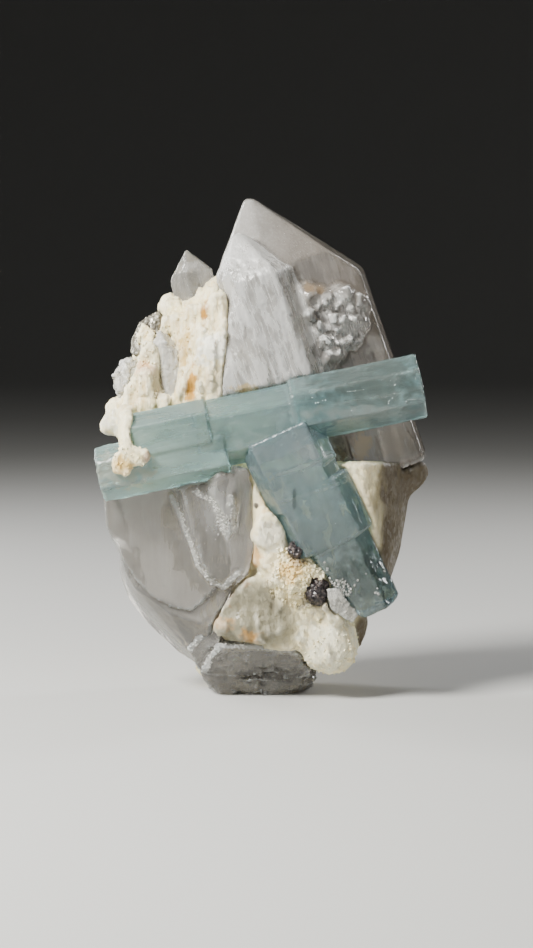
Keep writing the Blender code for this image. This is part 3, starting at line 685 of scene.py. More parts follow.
def crystal_grain(tree, axis, grain, drips):
    """The fine relief: tilted more where it sparkles, and grooved more where it is frosted."""
    tilt = sums(tree, "MULTIPLY_ADD", mesh_mask(tree, "sparkle"), 1.3, grain["Tilt"])
    grooves = sums(tree, "MULTIPLY_ADD", mesh_mask(tree, "frost"), drips, grain["Streaks"])
    return placed(tree, FINE_GRAIN, {"Axis": axis, **grain, "Tilt": tilt, "Streaks": grooves})


def milkiness(tree, axis, clouds, streak, share):
    """Veils inside, frost with bare trails through it, and scratches along the crystal."""
    veil = placed(tree, CLOUDS, {"Axis": axis, **clouds})["Mask"]
    frost = mesh_mask(tree, "frost")
    trails = remap(tree, placed(tree, CLOUDS, {"Axis": axis, **TRAILS})["Mask"], 0.0, 1.0, share["bare"], 0.0)
    bare = sums(tree, "MULTIPLY", mesh_mask(tree, "combed"), trails)
    frosted = sums(tree, "MULTIPLY", frost, sums(tree, "SUBTRACT", 1.0, bare))
    milk = sums(tree, "MULTIPLY_ADD", veil, share["veil"], frosted, clamp=True)
    scratches = sums(tree, "MULTIPLY_ADD", frost, share["scratches"], share["streak"])
    return sums(tree, "MULTIPLY_ADD", streak, scratches, milk, clamp=True)


def crystal_roughness(tree, milk, wear_and_light, fine, rough):
    """Rough where it is milky or worn, and glossy on some facets of the crumbs."""
    coarse = sums(tree, "MULTIPLY_ADD", milk, rough[1] - rough[0], rough[0])
    coarse = sums(tree, "MULTIPLY_ADD", wear_and_light["Edge"], 0.15, coarse)
    glossy = remap(tree, fine["Grain"], 0.3, 0.7, 0.3, 0.0)
    glitter = sums(tree, "MULTIPLY", mesh_mask(tree, "sparkle"), glossy)
    return sums(tree, "SUBTRACT", coarse, glitter, clamp=True)


def crystal_finish(title, ior, axis, clear, cloudy, hollow, deep, density, transmission, rough, clouds, grain,
                   **shares):
    share = {**USUAL, **shares}
    material, tree, shader, output = new_material(title)
    wear_and_light = placed(tree, RELIEF_WEAR_AND_LIGHT, {"Breakup": 0.35})
    fine = crystal_grain(tree, axis, grain, share["drips"])
    milk = milkiness(tree, axis, clouds, fine["Streak"], share)

    colour = blended(tree, milk, linear(*clear), linear(*cloudy))
    # painted shade: some crumb facets are darkened as the gaps between crumbs
    gaps = sums(tree, "MULTIPLY", mesh_mask(tree, "sparkle"), remap(tree, fine["Grain"], 0.5, 0.15))
    colour = laid(tree, colour, gaps, 0.35, GAP_SHADE_COLOUR)
    colour = patched(tree, colour, share["stains"])
    # painted shade: a tint, mostly darker, in the hollows
    colour = laid(tree, colour, wear_and_light["Hollow"], 0.3, hollow)
    # whiter edges: pale nicks and a painted highlight
    colour = laid(tree, colour, wear_and_light["Edge"], share["edge"], NICK_AND_HIGHLIGHT_COLOUR)
    wire(tree, shader.inputs["Base Color"], colour)

    wire(tree, shader.inputs["Roughness"], crystal_roughness(tree, milk, wear_and_light, fine, rough))
    shader.inputs["IOR"].default_value = ior
    shader.inputs["Transmission Weight"].default_value = transmission
    bump_from(tree, shader, fine["Height"])
    absorption = add_node(tree, "ShaderNodeVolumeAbsorption", {"Color": linear(*deep), "Density": density})
    tree.links.new(absorption.outputs[0], output.inputs["Volume"])
    print(f"finish: {title}, {len(tree.nodes)} nodes, refractive index {ior}")
    return material


# %% [markdown]
# ## Axes, stains and painted shade of the crystals
# Grooves, fibres and veils follow a crystal's length, so each crystal has its axis. The patches are the parts
# that differ from the rest of their crystal: a tint from the rock that lies behind it, a film, a flaw, a
# patch of whiter frost, painted shade in gaps, underneath and on a lower half, and a painted highlight. Each
# has a centre, radii, a colour and a strength, so one group can paint them all, and they stay in place when
# the camera moves.

# %% Axes and stains
QUARTZ_IOR, BERYL_IOR = 1.544, 1.577
TALL_AXIS = (-math.sin(math.radians(19)), 0.0, math.cos(math.radians(19)))
LONG_AXIS = (math.cos(math.radians(11.5)), 0.0, math.sin(math.radians(11.5)))
SLANT_AXIS = (math.sin(math.radians(25)), 0.0, -math.cos(math.radians(25)))
UPRIGHT = (0.0, 0.0, 1.0)

# Each stain: centre and radii in millimetres, colour from 0 to 255, strength
SMOKY_STAINS_AND_SHADE = (
    # brown and tan rock behind the foot of the crystal
    ((11.8, -7.0, 36.7), (2.0, 2.5, 2.2), (96, 74, 54), 0.85),
    ((14.4, -6.2, 36.6), (1.5, 2.5, 2.2), (198, 170, 132), 0.75),
    ((19.2, -4.0, 36.6), (3.2, 3.0, 2.8), (160, 146, 126), 0.6),
    # a tan flaw, and painted shade in the gaps among the crumbs
    ((7.8, -7.9, 59.2), (2.4, 2.5, 1.1), (164, 136, 100), 0.75),
    ((7.2, -8.9, 55.3), (1.5, 2.0, 2.4), (96, 92, 86), 0.6),
    ((8.2, -8.3, 50.3), (1.0, 2.0, 1.3), (92, 86, 80), 0.6),
    # a pale sheen, iron at the foot of the front point, and its whitest frost
    ((16.9, -2.9, 50.9), (2.4, 3.0, 1.4), (226, 222, 216), 0.55),
    ((-2.2, -11.2, 44.8), (1.9, 2.0, 1.0), (236, 208, 146), 0.8),
    ((5.0, -9.0, 54.9), (1.6, 4.0, 6.0), (250, 248, 242), 0.7),
)
GREY_QUARTZ_SHADE = (
    # painted shade on the underside of the foot
    ((1.0, -8.0, 3.2), (5.2, 4.0, 1.7), (84, 80, 76), 0.8),
)
PALE_STAINS_AND_HIGHLIGHT = (
    # grey rock behind the clear end, and a cream film at the other end
    ((15.5, -12.0, 46.0), (9.0, 8.0, 6.0), (126, 130, 124), 0.65),
    ((-20.0, -14.5, 33.6), (5.0, 4.0, 2.8), (244, 242, 222), 0.75),
    # a dark joint, a painted highlight and a pale patch beside it, and a pale band along the lower edge
    ((-5.6, -15.5, 38.0), (1.6, 2.0, 2.6), (120, 146, 150), 0.5),
    ((-4.2, -14.0, 35.5), (2.4, 2.5, 0.7), (244, 250, 248), 0.7),
    ((-0.2, -15.5, 36.6), (4.2, 3.0, 1.9), (220, 242, 240), 0.85),
    ((15.0, -14.5, 41.6), (9.0, 4.0, 1.1), (212, 228, 224), 0.85),
)
DEEP_STAINS_AND_SHADE = (
    # a dark crack, a pale top, and painted shade on the lower half
    ((4.6, -15.5, 29.4), (0.35, 2.0, 1.7), (84, 100, 104), 0.8),
    ((6.3, -15.5, 36.6), (2.6, 2.5, 1.2), (222, 234, 234), 0.5),
    ((10.6, -15.0, 23.0), (7.0, 6.0, 7.0), (130, 146, 148), 0.5),
    ((13.8, -14.0, 17.0), (5.0, 5.0, 6.0), (106, 118, 116), 0.8),
)
patch_count = sum(map(len, (SMOKY_STAINS_AND_SHADE, GREY_QUARTZ_SHADE, PALE_STAINS_AND_HIGHLIGHT, DEEP_STAINS_AND_SHADE)))
print(patch_count, "stains on the crystals")

# %% [markdown]
# ## The five crystal finishes
# Two beryls and three quartzes. `clear` and `cloudy` are the surface without and with milk, and `deep` is the
# colour that thick crystal turns to. Of the quartzes, the grey one lets the most light through and the white
# one the least.

# %% Crystal finishes
pale_aquamarine = crystal_finish(
    "pale aquamarine", BERYL_IOR, LONG_AXIS,
    clear=(149, 184, 188), cloudy=(206, 236, 234), hollow=(160, 192, 192), deep=(104, 186, 200),
    density=25.0, transmission=0.82, rough=(0.06, 0.34), veil=0.45, edge=0.45, bare=0.0, streak=0.08,
    clouds={"Along": 7.0, "Across": 2.2, "Cover": 0.5, "Softness": 0.2, "Seed": 1.0},
    grain={"Size": 0.8, "Length": 2.5, "Tilt": 0.03, "Grit": 0.004, "Streaks": 0.025, "Streak Width": 0.35},
    stains=PALE_STAINS_AND_HIGHLIGHT,
)
deep_aquamarine = crystal_finish(
    "deep aquamarine", BERYL_IOR, SLANT_AXIS,
    clear=(146, 176, 183), cloudy=(196, 214, 218), hollow=(130, 158, 166), deep=(100, 168, 190),
    density=33.0, transmission=0.82, rough=(0.07, 0.34), veil=0.5, edge=0.15, bare=0.0, streak=0.08,
    clouds={"Along": 5.0, "Across": 2.4, "Cover": 0.45, "Softness": 0.2, "Seed": 4.0},
    grain={"Size": 0.8, "Length": 2.0, "Tilt": 0.04, "Grit": 0.005, "Streaks": 0.015, "Streak Width": 0.4},
    stains=DEEP_STAINS_AND_SHADE,
)
smoky_quartz = crystal_finish(
    "smoky quartz", QUARTZ_IOR, TALL_AXIS,
    clear=(150, 142, 133), cloudy=(252, 252, 250), hollow=(140, 132, 124), deep=(170, 140, 115),
    density=12.0, transmission=0.6, rough=(0.04, 0.32), veil=0.2, drips=0.05, bare=0.6, streak=0.05,
    clouds={"Along": 12.0, "Across": 5.0, "Cover": 0.4, "Softness": 0.25, "Seed": 2.0},
    grain={"Size": 0.7, "Length": 1.0, "Tilt": 0.03, "Grit": 0.006, "Streaks": 0.02, "Streak Width": 0.3},
    scratches=0.4, stains=SMOKY_STAINS_AND_SHADE,
)
grey_quartz = crystal_finish(
    "grey quartz", QUARTZ_IOR, UPRIGHT,
    clear=(178, 173, 165), cloudy=(252, 252, 250), hollow=(128, 124, 118), deep=(158, 150, 138),
    density=42.0, transmission=0.8, rough=(0.13, 0.32), veil=0.22, streak=0.12, edge=1.0,
    clouds={"Along": 9.0, "Across": 4.5, "Cover": 0.45, "Softness": 0.22, "Seed": 7.0},
    grain={"Size": 0.7, "Length": 1.2, "Tilt": 0.04, "Grit": 0.006, "Streaks": 0.02, "Streak Width": 0.3},
    stains=GREY_QUARTZ_SHADE,
)
white_quartz = crystal_finish(
    "white quartz", QUARTZ_IOR, UPRIGHT,
    clear=(212, 209, 200), cloudy=(250, 249, 244), hollow=(180, 178, 176), deep=(190, 184, 172),
    density=12.0, transmission=0.55, rough=(0.1, 0.45),
    clouds={"Along": 3.0, "Across": 2.0, "Cover": 0.55, "Softness": 0.2, "Seed": 9.0},
    grain={"Size": 0.5, "Length": 0.9, "Tilt": 0.2, "Grit": 0.012, "Streaks": 0.03, "Streak Width": 0.3},
)

# %% [markdown]
# ## The rock's finish
# Feldspar is nearly opaque, but light sinks a little way into it, which a small subsurface share gives. Its
# cream colour drifts to grey, to yellow and to a glassy brown, and its fibres are paler. Iron has stained it
# orange and brown in places that are known. Two more masks come from the mesh: one is a grey skin on the
# front, and the other is brown weathered rock, which on the right flank is also painted shade. The hollows
# are darkened, as dirt and painted shade, and the edges are paler, as fresh nicks and painted highlights,
# except where the rock is brown.

# %% The rock finish
# Each stain: centre and radii in millimetres, colour from 0 to 255, strength
ROCK_STAINS = (
    # orange and yellow iron stains in the fibrous part
    ((-8.1, -7.4, 55.6), (0.7, 2.5, 2.4), (178, 128, 46), 1.0),
    ((-10.2, -9.7, 45.4), (1.1, 2.5, 2.8), (198, 142, 40), 0.95),
    ((-11.4, -8.3, 50.3), (1.2, 2.5, 3.4), (196, 162, 88), 0.8),
    ((-17.0, -8.6, 47.8), (1.8, 2.5, 1.3), (208, 166, 124), 0.8),
    # a white blob and two greyer patches
    ((-6.8, -10.6, 50.5), (2.6, 2.5, 2.6), (254, 252, 238), 0.85),
    ((-6.0, -10.2, 45.6), (2.4, 2.5, 2.8), (188, 178, 154), 0.6),
    ((-14.6, -8.4, 45.4), (1.8, 2.5, 2.6), (176, 168, 146), 0.6),
    # the middle: an ivory block, a cream strip, yellow sugar, black specks
    ((1.2, -13.0, 24.0), (2.6, 3.5, 2.8), (252, 248, 228), 0.7),
    ((1.0, -12.6, 29.5), (1.6, 2.5, 3.5), (218, 186, 124), 0.75),
    ((-1.0, -12.0, 20.9), (1.4, 2.5, 1.6), (206, 160, 96), 0.85),
    ((4.0, -14.3, 19.2), (2.4, 2.5, 1.8), (228, 192, 116), 0.8),
    ((-1.0, -12.6, 33.2), (0.6, 2.0, 0.6), (56, 50, 44), 0.95),
    ((-0.8, -12.4, 28.3), (0.4, 1.5, 0.4), (56, 50, 44), 0.95),
    # dirt round the two dark grains
    ((8.2, -13.2, 14.3), (2.6, 3.0, 2.2), (112, 100, 88), 0.6),
    ((5.0, -14.0, 21.0), (1.7, 3.0, 1.3), (140, 112, 84), 0.6),
    # the round lump
    ((9.7, -10.0, 8.1), (5.0, 6.0, 5.4), (222, 222, 204), 0.6),
    # the grey front with rust, and the brown seam beside the lower quartz
    ((-1.8, -12.6, 9.4), (1.6, 2.5, 1.3), (158, 118, 56), 0.85),
    ((-5.9, -10.6, 11.4), (2.4, 3.0, 1.3), (172, 138, 92), 0.85),
    ((-7.9, -10.6, 12.6), (1.3, 2.5, 1.0), (126, 98, 62), 0.85),
    ((-5.0, -11.6, 15.8), (0.9, 2.0, 1.8), (130, 102, 66), 0.8),
    ((-2.6, -11.8, 18.2), (0.9, 2.0, 1.6), (136, 106, 70), 0.8),
    # the cream drape and its two drops
    ((-22.4, -10.0, 40.0), (2.2, 5.0, 2.8), (200, 200, 190), 0.7),
    ((-18.9, -15.0, 38.6), (3.0, 4.0, 4.6), (255, 242, 196), 0.8),
    ((-19.9, -17.0, 33.9), (2.2, 2.0, 1.8), (228, 192, 116), 0.9),
    ((-15.7, -16.8, 35.0), (1.0, 2.0, 1.4), (146, 98, 54), 0.85),
)
# What drifts over the rock: the length and width of its clouds in millimetres, and how much they cover
ROCK_CLOUDS = {
    "grey": {"Axis": UPRIGHT, "Along": 6.0, "Across": 1.4, "Cover": 0.5, "Softness": 0.16},
    "yellow": {"Along": 5.0, "Across": 4.0, "Cover": 0.4, "Softness": 0.2, "Seed": 3.0},
    "seams": {"Axis": UPRIGHT, "Along": 6.0, "Across": 0.7, "Cover": 0.4, "Softness": 0.1, "Seed": 8.0},
    "glassy": {"Axis": UPRIGHT, "Along": 4.0, "Across": 1.8, "Cover": 0.32, "Softness": 0.1, "Seed": 12.0},
    "speckle": {"Along": 0.9, "Across": 0.6, "Cover": 0.5, "Softness": 0.2, "Seed": 5.0},
}
FELDSPAR_IOR = 1.53


def fresh_rock(tree, clouds, fine, pale, grey):
    """The clean rock: cream drifting to other colours, with pale fibres and darker gaps between grains."""
    combed = mesh_mask(tree, "combed")
    seams, fibres = (sums(tree, "MULTIPLY", mask, combed) for mask in (clouds["seams"], fine["Streak"]))
    colour = blended(tree, clouds["grey"], linear(*pale), linear(*grey))
    for mask, strength, tint in (
        (clouds["yellow"], 0.5, (230, 206, 142)), (seams, 0.55, (208, 174, 100)),
        (clouds["glassy"], 0.35, (180, 170, 144)), (clouds["speckle"], 0.3, (252, 246, 222)),
        (fibres, 0.5, (252, 246, 224)),
    ):
        colour = laid(tree, colour, mask, strength, tint)
    return blended(tree, remap(tree, fine["Grain"], 0.35, 0.1, 0.0, 0.2), colour, linear(186, 168, 132))


def weathered(tree, colour, yellow, stains):
    """What time did to the rock, and painted light: a dull skin, brown sides that are partly painted shade,
    patches of colour, hollows darkened as grime and painted shade, and edges paler as fresh chips and painted
    highlights.
    """
    wear_and_light = placed(tree, RELIEF_WEAR_AND_LIGHT, {"Breakup": 0.4})
    colour = laid(tree, colour, mesh_mask(tree, "dull"), 0.92, (116, 112, 94))
    # brown sides: weathered rock, and painted shade on the right flank
    brown_and_shaded = sums(tree, "ADD", mesh_mask(tree, "brown_and_shaded"), remap(tree, yellow, 0.0, 1.0, -0.2, 0.2))
    browned = remap(tree, brown_and_shaded, 0.0, 0.9, 0.0, 0.95)
    colour = patched(tree, blended(tree, browned, colour, linear(72, 58, 38)), stains)
    # dirt and painted shade: the hollows are darkened
    dirt_and_shade = sums(tree, "MULTIPLY", wear_and_light["Hollow"], 0.45)
    colour = blended(tree, dirt_and_shade, colour, linear(160, 132, 92), "MULTIPLY")
    # pale nicks and painted highlights: the edges are paler, less where the rock is brown
    nicks_and_highlights = sums(tree, "MULTIPLY", wear_and_light["Edge"], remap(tree, browned, 0.0, 0.9, 0.4, 0.08))
    return blended(tree, nicks_and_highlights, colour, linear(254, 248, 226))


def rock_finish(title, pale, grey, stains):
    material, tree, shader, _ = new_material(title)
    clouds = {name: placed(tree, CLOUDS, cloud)["Mask"] for name, cloud in ROCK_CLOUDS.items()}
    fine = placed(tree, FINE_GRAIN, {
        "Axis": UPRIGHT, "Size": 0.4, "Length": 0.7, "Tilt": 0.6, "Grit": 0.03, "Streak Width": 0.3,
        "Streaks": sums(tree, "MULTIPLY", mesh_mask(tree, "combed"), 0.12),
    })
    colour = weathered(tree, fresh_rock(tree, clouds, fine, pale, grey), clouds["yellow"], stains)
    wire(tree, shader.inputs["Base Color"], colour)
    wire(tree, shader.inputs["Roughness"], remap(tree, fine["Grain"], 0.2, 0.8, 0.35, 0.75))
    shader.inputs["Subsurface Weight"].default_value = 0.2
    shader.inputs["Subsurface Radius"].default_value = (1.0, 0.85, 0.6)
    shader.inputs["Subsurface Scale"].default_value = 0.3 * MM
    shader.inputs["IOR"].default_value = FELDSPAR_IOR
    bump_from(tree, shader, fine["Height"])
    print(f"finish: {title}, {len(tree.nodes)} nodes, {len(stains)} stains")
    return material


cream_feldspar = rock_finish("cream feldspar", (255, 244, 194), (238, 224, 180), ROCK_STAINS)

# %% [markdown]
# ## Mica and the dark mineral
# Mica is a stack of silvery sheets, so its finish is half metallic and banded across the sheets. The dark
# grains are nearly black, with paler patches that are duller.

# %% Mica and dark finishes
MICA_BANDS = {"Axis": UPRIGHT, "Along": 4.0, "Across": 0.5, "Cover": 0.5, "Softness": 0.15}
MICA_SHADE = {"Centre": (-16.5, -5.0, 52.6), "Radii": (1.6, 4.0, 1.8), "Grain": 0.5}
MICA_GRAIN = {"Size": 0.4, "Tilt": 0.4, "Grit": 0.02, "Streaks": 0.05, "Streak Width": 0.15}
DARK_PATCHES = {"Along": 0.6, "Across": 0.5, "Cover": 0.35, "Softness": 0.12}
DARK_GRAIN = {"Size": 0.35, "Length": 0.35, "Tilt": 1.0, "Grit": 0.02}


def two_tone(title, clouds, tones, rough, grain):
    """A finish in two tones, each with its own roughness, that clouds tell apart."""
    material, tree, shader, _ = new_material(title)
    mask = placed(tree, CLOUDS, clouds)["Mask"]
    colour = blended(tree, mask, linear(*tones[0]), linear(*tones[1]))
    wire(tree, shader.inputs["Roughness"], remap(tree, mask, 0.0, 1.0, *rough))
    bump_from(tree, shader, placed(tree, FINE_GRAIN, grain)["Height"])
    return material, tree, shader, colour


def mica_finish():
    material, tree, shader, colour = two_tone(
        "silver mica", MICA_BANDS, ((84, 80, 70), (184, 180, 166)), (0.45, 0.22), MICA_GRAIN
    )
    shade = placed(tree, COLOUR_PATCH, MICA_SHADE)["Mask"]
    wire(tree, shader.inputs["Base Color"], blended(tree, shade, colour, linear(70, 64, 54)))
    shader.inputs["Metallic"].default_value = 0.45
    return material


def dark_finish():
    material, tree, shader, colour = two_tone(
        "dark mineral", DARK_PATCHES, ((36, 30, 34), (120, 108, 104)), (0.3, 0.6), DARK_GRAIN
    )
    wire(tree, shader.inputs["Base Color"], colour)
    return material


silver_mica, dark_mineral = mica_finish(), dark_finish()
print("finishes:", silver_mica.name, "and", dark_mineral.name)

# %% [markdown]
# ## Putting a piece in place
# Every piece stands for one solid of the imported model and rides on its body, and that solid is hidden.
# The pieces are already where they belong, because their points were copied in place.

# %% Hand a piece over
def hand_over(obj, node, slot):
    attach(obj, "root")
    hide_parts(node)


# %% [markdown]
# ## The long aquamarine
# Beryl grows in six-sided prisms with faint grooves along their length. This one was broken and healed: three
# lengths meet at slightly different levels. Long shallow streaks make the grooves, and small facets nick the
# edges and the broken left end. The right length is the clearest, so frost fades out towards it, except on
# its two long edges.

# %% Long aquamarine
LONG_EDGES = (((7.0, 44.6), (23.0, 47.6)), ((7.0, 42.0), (23.4, 45.4)))


def make_long_aquamarine():
    piece = evened(netted(piece_of("long_aquamarine", "aquamarine_long"), 0.19), 4)
    points = points_mm(piece.data)
    x, _, _ = points.T
    edges = along(points, LONG_EDGES[0], 0.5) + along(points, LONG_EDGES[1], 0.5)
    set_mask(piece.data, "broken", 0.12 + 0.25 * rim_mask(piece.data) + 0.5 * ramp(x, -18.5, -21.5))
    set_mask(piece.data, "frost", 0.08 + 0.55 * ramp(x, 8.0, -16.0) + 0.35 * edges)
    carved(
        piece, pale_aquamarine, LONG_AXIS, seed=3, swell=0.1,
        chip=(1.6, 0.8, 0.5), crumb=(0.7, 0.5, 0.15), streak=(12.0, 0.6, 0.07), billow=(14.0, 5.0, 0.25),
    )
    hand_over(piece, "long_aquamarine", "pale_aquamarine")


make_long_aquamarine()

# %% [markdown]
# ## The slanted aquamarine
# The second beryl leans across the rock in four steps, each a little wider or narrower than the last. The
# lines where the steps meet are raised a little and frosted. It is darker than the long one, its upper end is
# milky, and its lowest step is pitted.

# %% Slanted aquamarine
STEP_LINES = (((1.4, 32.6), (9.7, 35.4)), ((3.1, 29.2), (11.8, 31.9)), ((7.1, 20.7), (15.1, 25.3)))


def make_slanted_aquamarine():
    piece = evened(netted(piece_of("slanted_aquamarine", "aquamarine_slanted"), 0.19), 5)
    points = points_mm(piece.data)
    _, _, z = points.T
    low = ramp(z, 24.0, 19.0)
    steps = np.maximum.reduce([along(points, line, 0.36) for line in STEP_LINES])
    push_out(piece.data, 0.06 * steps)
    set_mask(piece.data, "broken", 0.10 + 0.22 * rim_mask(piece.data) + 0.2 * low)
    set_mask(piece.data, "frost", 0.1 + 0.25 * ramp(z, 28.0, 38.0) + 0.2 * low + 0.35 * steps)
    set_mask(piece.data, "sparkle", 0.35 * low)
    carved(
        piece, deep_aquamarine, SLANT_AXIS, seed=8, swell=0.1,
        chip=(1.8, 1.2, 0.55), crumb=(0.7, 0.6, 0.22), streak=(6.0, 0.8, 0.10), billow=(9.0, 4.0, 0.3),
    )
    hand_over(piece, "slanted_aquamarine", "deep_aquamarine")
    return piece


slanted = make_slanted_aquamarine()

# %% [markdown]
# ## The tall smoky quartz
# One big quartz point with a smaller frosted point grown on its front, and a crust of clear crumbs beside it.
# All three are one solid. How far a point lies from a crystal's axis, measured square to the nearest of its
# six faces, tells which of them it belongs to.

# %% Regions of the tall quartz
TALL_CENTRE = (8.9, 4.0, 49.1)
FRONT_POINT = (0.9, 56.0)
CRUMB_CRUST = ((10.4, -5.4, 53.8), (6.0, 6.0, 6.4))


def face_distance(points, centre, axis, first_deg):
    """Each point's distance from a six-sided prism's axis, square to the nearest face."""
    axis = np.array(axis)
    side = np.array([axis[2], 0.0, -axis[0]])
    back = np.cross(axis, side)
    out = points - np.array(centre)
    turns = np.radians(first_deg + 60 * np.arange(6))
    faces = np.cos(turns)[:, None] * side + np.sin(turns)[:, None] * back
    return (out @ faces.T).max(axis=1)


def quartz_regions(points):
    """Masks of the frosted front point and of the crumbly crust, which both stand proud of the crystal."""
    x, y, z = points.T
    proud = ramp(face_distance(points, TALL_CENTRE, TALL_AXIS, -5.0), 9.75, 9.95)
    to_the_right = (x - FRONT_POINT[0]) * TALL_AXIS[2] - (z - FRONT_POINT[1]) * TALL_AXIS[0]
    front = proud * ramp(to_the_right, 5.7, 5.3) * ramp(y, 0.0, -3.0)
    crust = proud * near(points, *CRUMB_CRUST) * (1 - front)
    return front, np.minimum(1, crust * 1.6)


print(f"the tall quartz leans {math.degrees(math.acos(TALL_AXIS[2])):.0f} degrees to the left")

# %% [markdown]
# ## Working the tall quartz
# Blocky grains are fused with the solid before the fine net is laid, so the crust is one skin with the
# crystal. The big crystal then keeps its flat faces and is a little frosted at its upper left. The front
# point is white with frost and combed with drips along its length, up to just under its tip.

# %% Tall quartz
def make_tall_quartz():
    piece = netted(piece_of("tall_quartz", "quartz_tall"), 0.45)
    _, crust = quartz_regions(points_mm(piece.data))
    crusted(piece, crust, 1.5, 1.35, 5)
    netted(piece, 0.235)
    points = points_mm(piece.data)
    front, crust = quartz_regions(points)
    evened(piece, 3, crust)
    x, _, z = points.T
    drips = front * ramp(z, 64.5, 61.5)
    paler_left = ramp(x, 9.0, -3.0) * ramp(z, 52.0, 66.0)
    set_mask(piece.data, "broken", 0.06 + 0.2 * rim_mask(piece.data) + 0.25 * drips + 0.6 * crust)
    set_mask(piece.data, "combed", 0.12 + 0.2 * front + 0.68 * drips)
    set_mask(piece.data, "frost", np.maximum.reduce([front, 0.75 * crust, 0.3 * paler_left]))
    set_mask(piece.data, "sparkle", crust)
    carved(
        piece, smoky_quartz, TALL_AXIS, seed=12, swell=0.08,
        chip=(4.0, 1.1, 0.8), crumb=(1.2, 0.7, 0.3), streak=(4.0, 0.55, 0.38), billow=(14.0, 7.0, 0.35),
    )
    hand_over(piece, "tall_quartz", "smoky_quartz")


make_tall_quartz()

# %% [markdown]
# ## The lower quartz
# A broad piece of grey quartz, broken rather than grown. Three things are told apart on it: its blade, which
# is combed, a frosted tooth that stands on the blade, and the lines that end its faces. Those lines are given
# as corners in the front view. They are pushed out a little and frosted white, as a broken edge is.

# %% Lower quartz
BLADE = ((-7.0, -13.0, 28.0), (6.5, 5.0, 13.0))
TOOTH = ((-6.4, -13.6, 28.0), (3.2, 3.0, 5.4))
BLADE_RIDGE = (
    (-12.8, 29.5), (-11.4, 26.2), (-10.0, 22.6), (-9.0, 19.6), (-7.1, 17.4), (-5.4, 16.6), (-3.4, 18.7),
)
TOOTH_EDGE = ((-9.4, 30.3), (-6.8, 28.7), (-5.9, 26.0), (-4.8, 23.9), (-4.1, 26.3), (-4.4, 29.6))
RIM_EDGE = ((-21.4, 22.0), (-20.6, 18.2), (-20.4, 15.0), (-17.0, 11.2), (-12.5, 6.5), (-9.0, 3.9))


def make_lower_quartz():
    piece = evened(netted(piece_of("lower_quartz", "quartz_lower"), 0.25), 1)
    points = points_mm(piece.data)
    blade, tooth = near(points, *BLADE), near(points, *TOOTH)
    ridges = np.maximum(along(points, BLADE_RIDGE, 0.6), along(points, TOOTH_EDGE, 0.5))
    push_out(piece.data, 0.15 * ridges)
    set_mask(piece.data, "broken", 0.08 + 0.2 * rim_mask(piece.data) + 0.25 * blade)
    set_mask(piece.data, "combed", 0.3 + 0.7 * blade)
    rim = ramp(along(points, RIM_EDGE, 1.6), 0.0, 1.0)
    frost = np.maximum.reduce([0.08 + 0.2 * blade, 0.95 * ridges, 0.9 * tooth, 0.8 * rim])
    set_mask(piece.data, "frost", frost)
    carved(
        piece, grey_quartz, UPRIGHT, seed=21, swell=0.08,
        chip=(3.0, 1.6, 0.6), crumb=(1.0, 0.7, 0.25), streak=(7.0, 0.7, 0.25), billow=(9.0, 6.0, 0.5),
    )
    hand_over(piece, "lower_quartz", "grey_quartz")
    return piece


lower_quartz = make_lower_quartz()

# %% [markdown]
# ## The quartz foot
# The same quartz, at the bottom. Its upper edge is lifted, its big chips are deep, and the lower part of its
# front is pitted. It stands on the table, so nothing of it may reach below level 0.

# %% Quartz foot
FOOT_RIDGE = ((-8.2, 4.2), (-7.2, 6.4), (-6.2, 7.7), (-4.2, 8.0), (0.0, 7.6), (4.3, 7.0), (6.2, 5.8))
FACET_EDGE = ((-10.9, 6.4), (-8.9, 8.6), (-7.2, 10.8))
TABLE = 0.0


def make_quartz_foot():
    piece = netted(piece_of("quartz_foot", "quartz_foot_broken"), 0.22)
    points = points_mm(piece.data)
    x, y, z = points.T
    pitted = ramp(z, 5.0, 4.0) * ramp(x, -5.0, -3.0)
    points[:, 2] += 0.7 * ramp(z, 4.5, 6.5) * ramp(y, -4.0, -7.0)
    put_points_mm(piece.data, points)
    ridges = np.maximum(along(points, FOOT_RIDGE, 0.5), along(points, FACET_EDGE, 0.5))
    push_out(piece.data, 0.12 * ridges)
    ledge = ramp(points[:, 2], 6.2, 7.2) * ramp(x, 6.0, 3.0)
    set_mask(piece.data, "broken", 0.3 + 0.2 * rim_mask(piece.data) + 0.55 * pitted)
    set_mask(piece.data, "frost", np.maximum(0.12, np.maximum(ridges, 0.4 * ledge)))
    set_mask(piece.data, "sparkle", 0.2 * pitted)
    carved(
        piece, grey_quartz, (1.0, 0.0, 0.15), seed=25, stand=TABLE, swell=0.1,
        chip=(3.2, 1.8, 1.5), crumb=(1.3, 1.0, 0.6), streak=(6.0, 0.9, 0.05), billow=(7.0, 4.0, 0.5),
    )
    hand_over(piece, "quartz_foot", "grey_quartz")
    return piece


foot = make_quartz_foot()

# %% [markdown]
# ## The small quartzes
# A small clear point at the back, a little prism, a knob and a shard. They are worked like the big ones, with
# a finer net. A table of rows, one for each, keeps what differs in sight.

# %% Small quartzes
SMALL_QUARTZES = (
    # node, piece, slot, net spacing, axis, broken, frost, chip depth
    ("small_quartz_point", "quartz_small_point", "grey_quartz", 0.16, TALL_AXIS, 0.15, 0.45, 0.4),
    ("small_quartz_prism", "quartz_small_prism", "white_quartz", 0.16, UPRIGHT, 0.5, 0.45, 0.6),
    ("left_quartz_knob", "quartz_left_knob", "white_quartz", 0.18, UPRIGHT, 0.9, 0.45, 1.2),
    ("quartz_shard", "quartz_shard_flake", "white_quartz", 0.14, UPRIGHT, 0.5, 0.15, 0.5),
)
QUARTZ_FINISHES = {"grey_quartz": grey_quartz, "white_quartz": white_quartz}


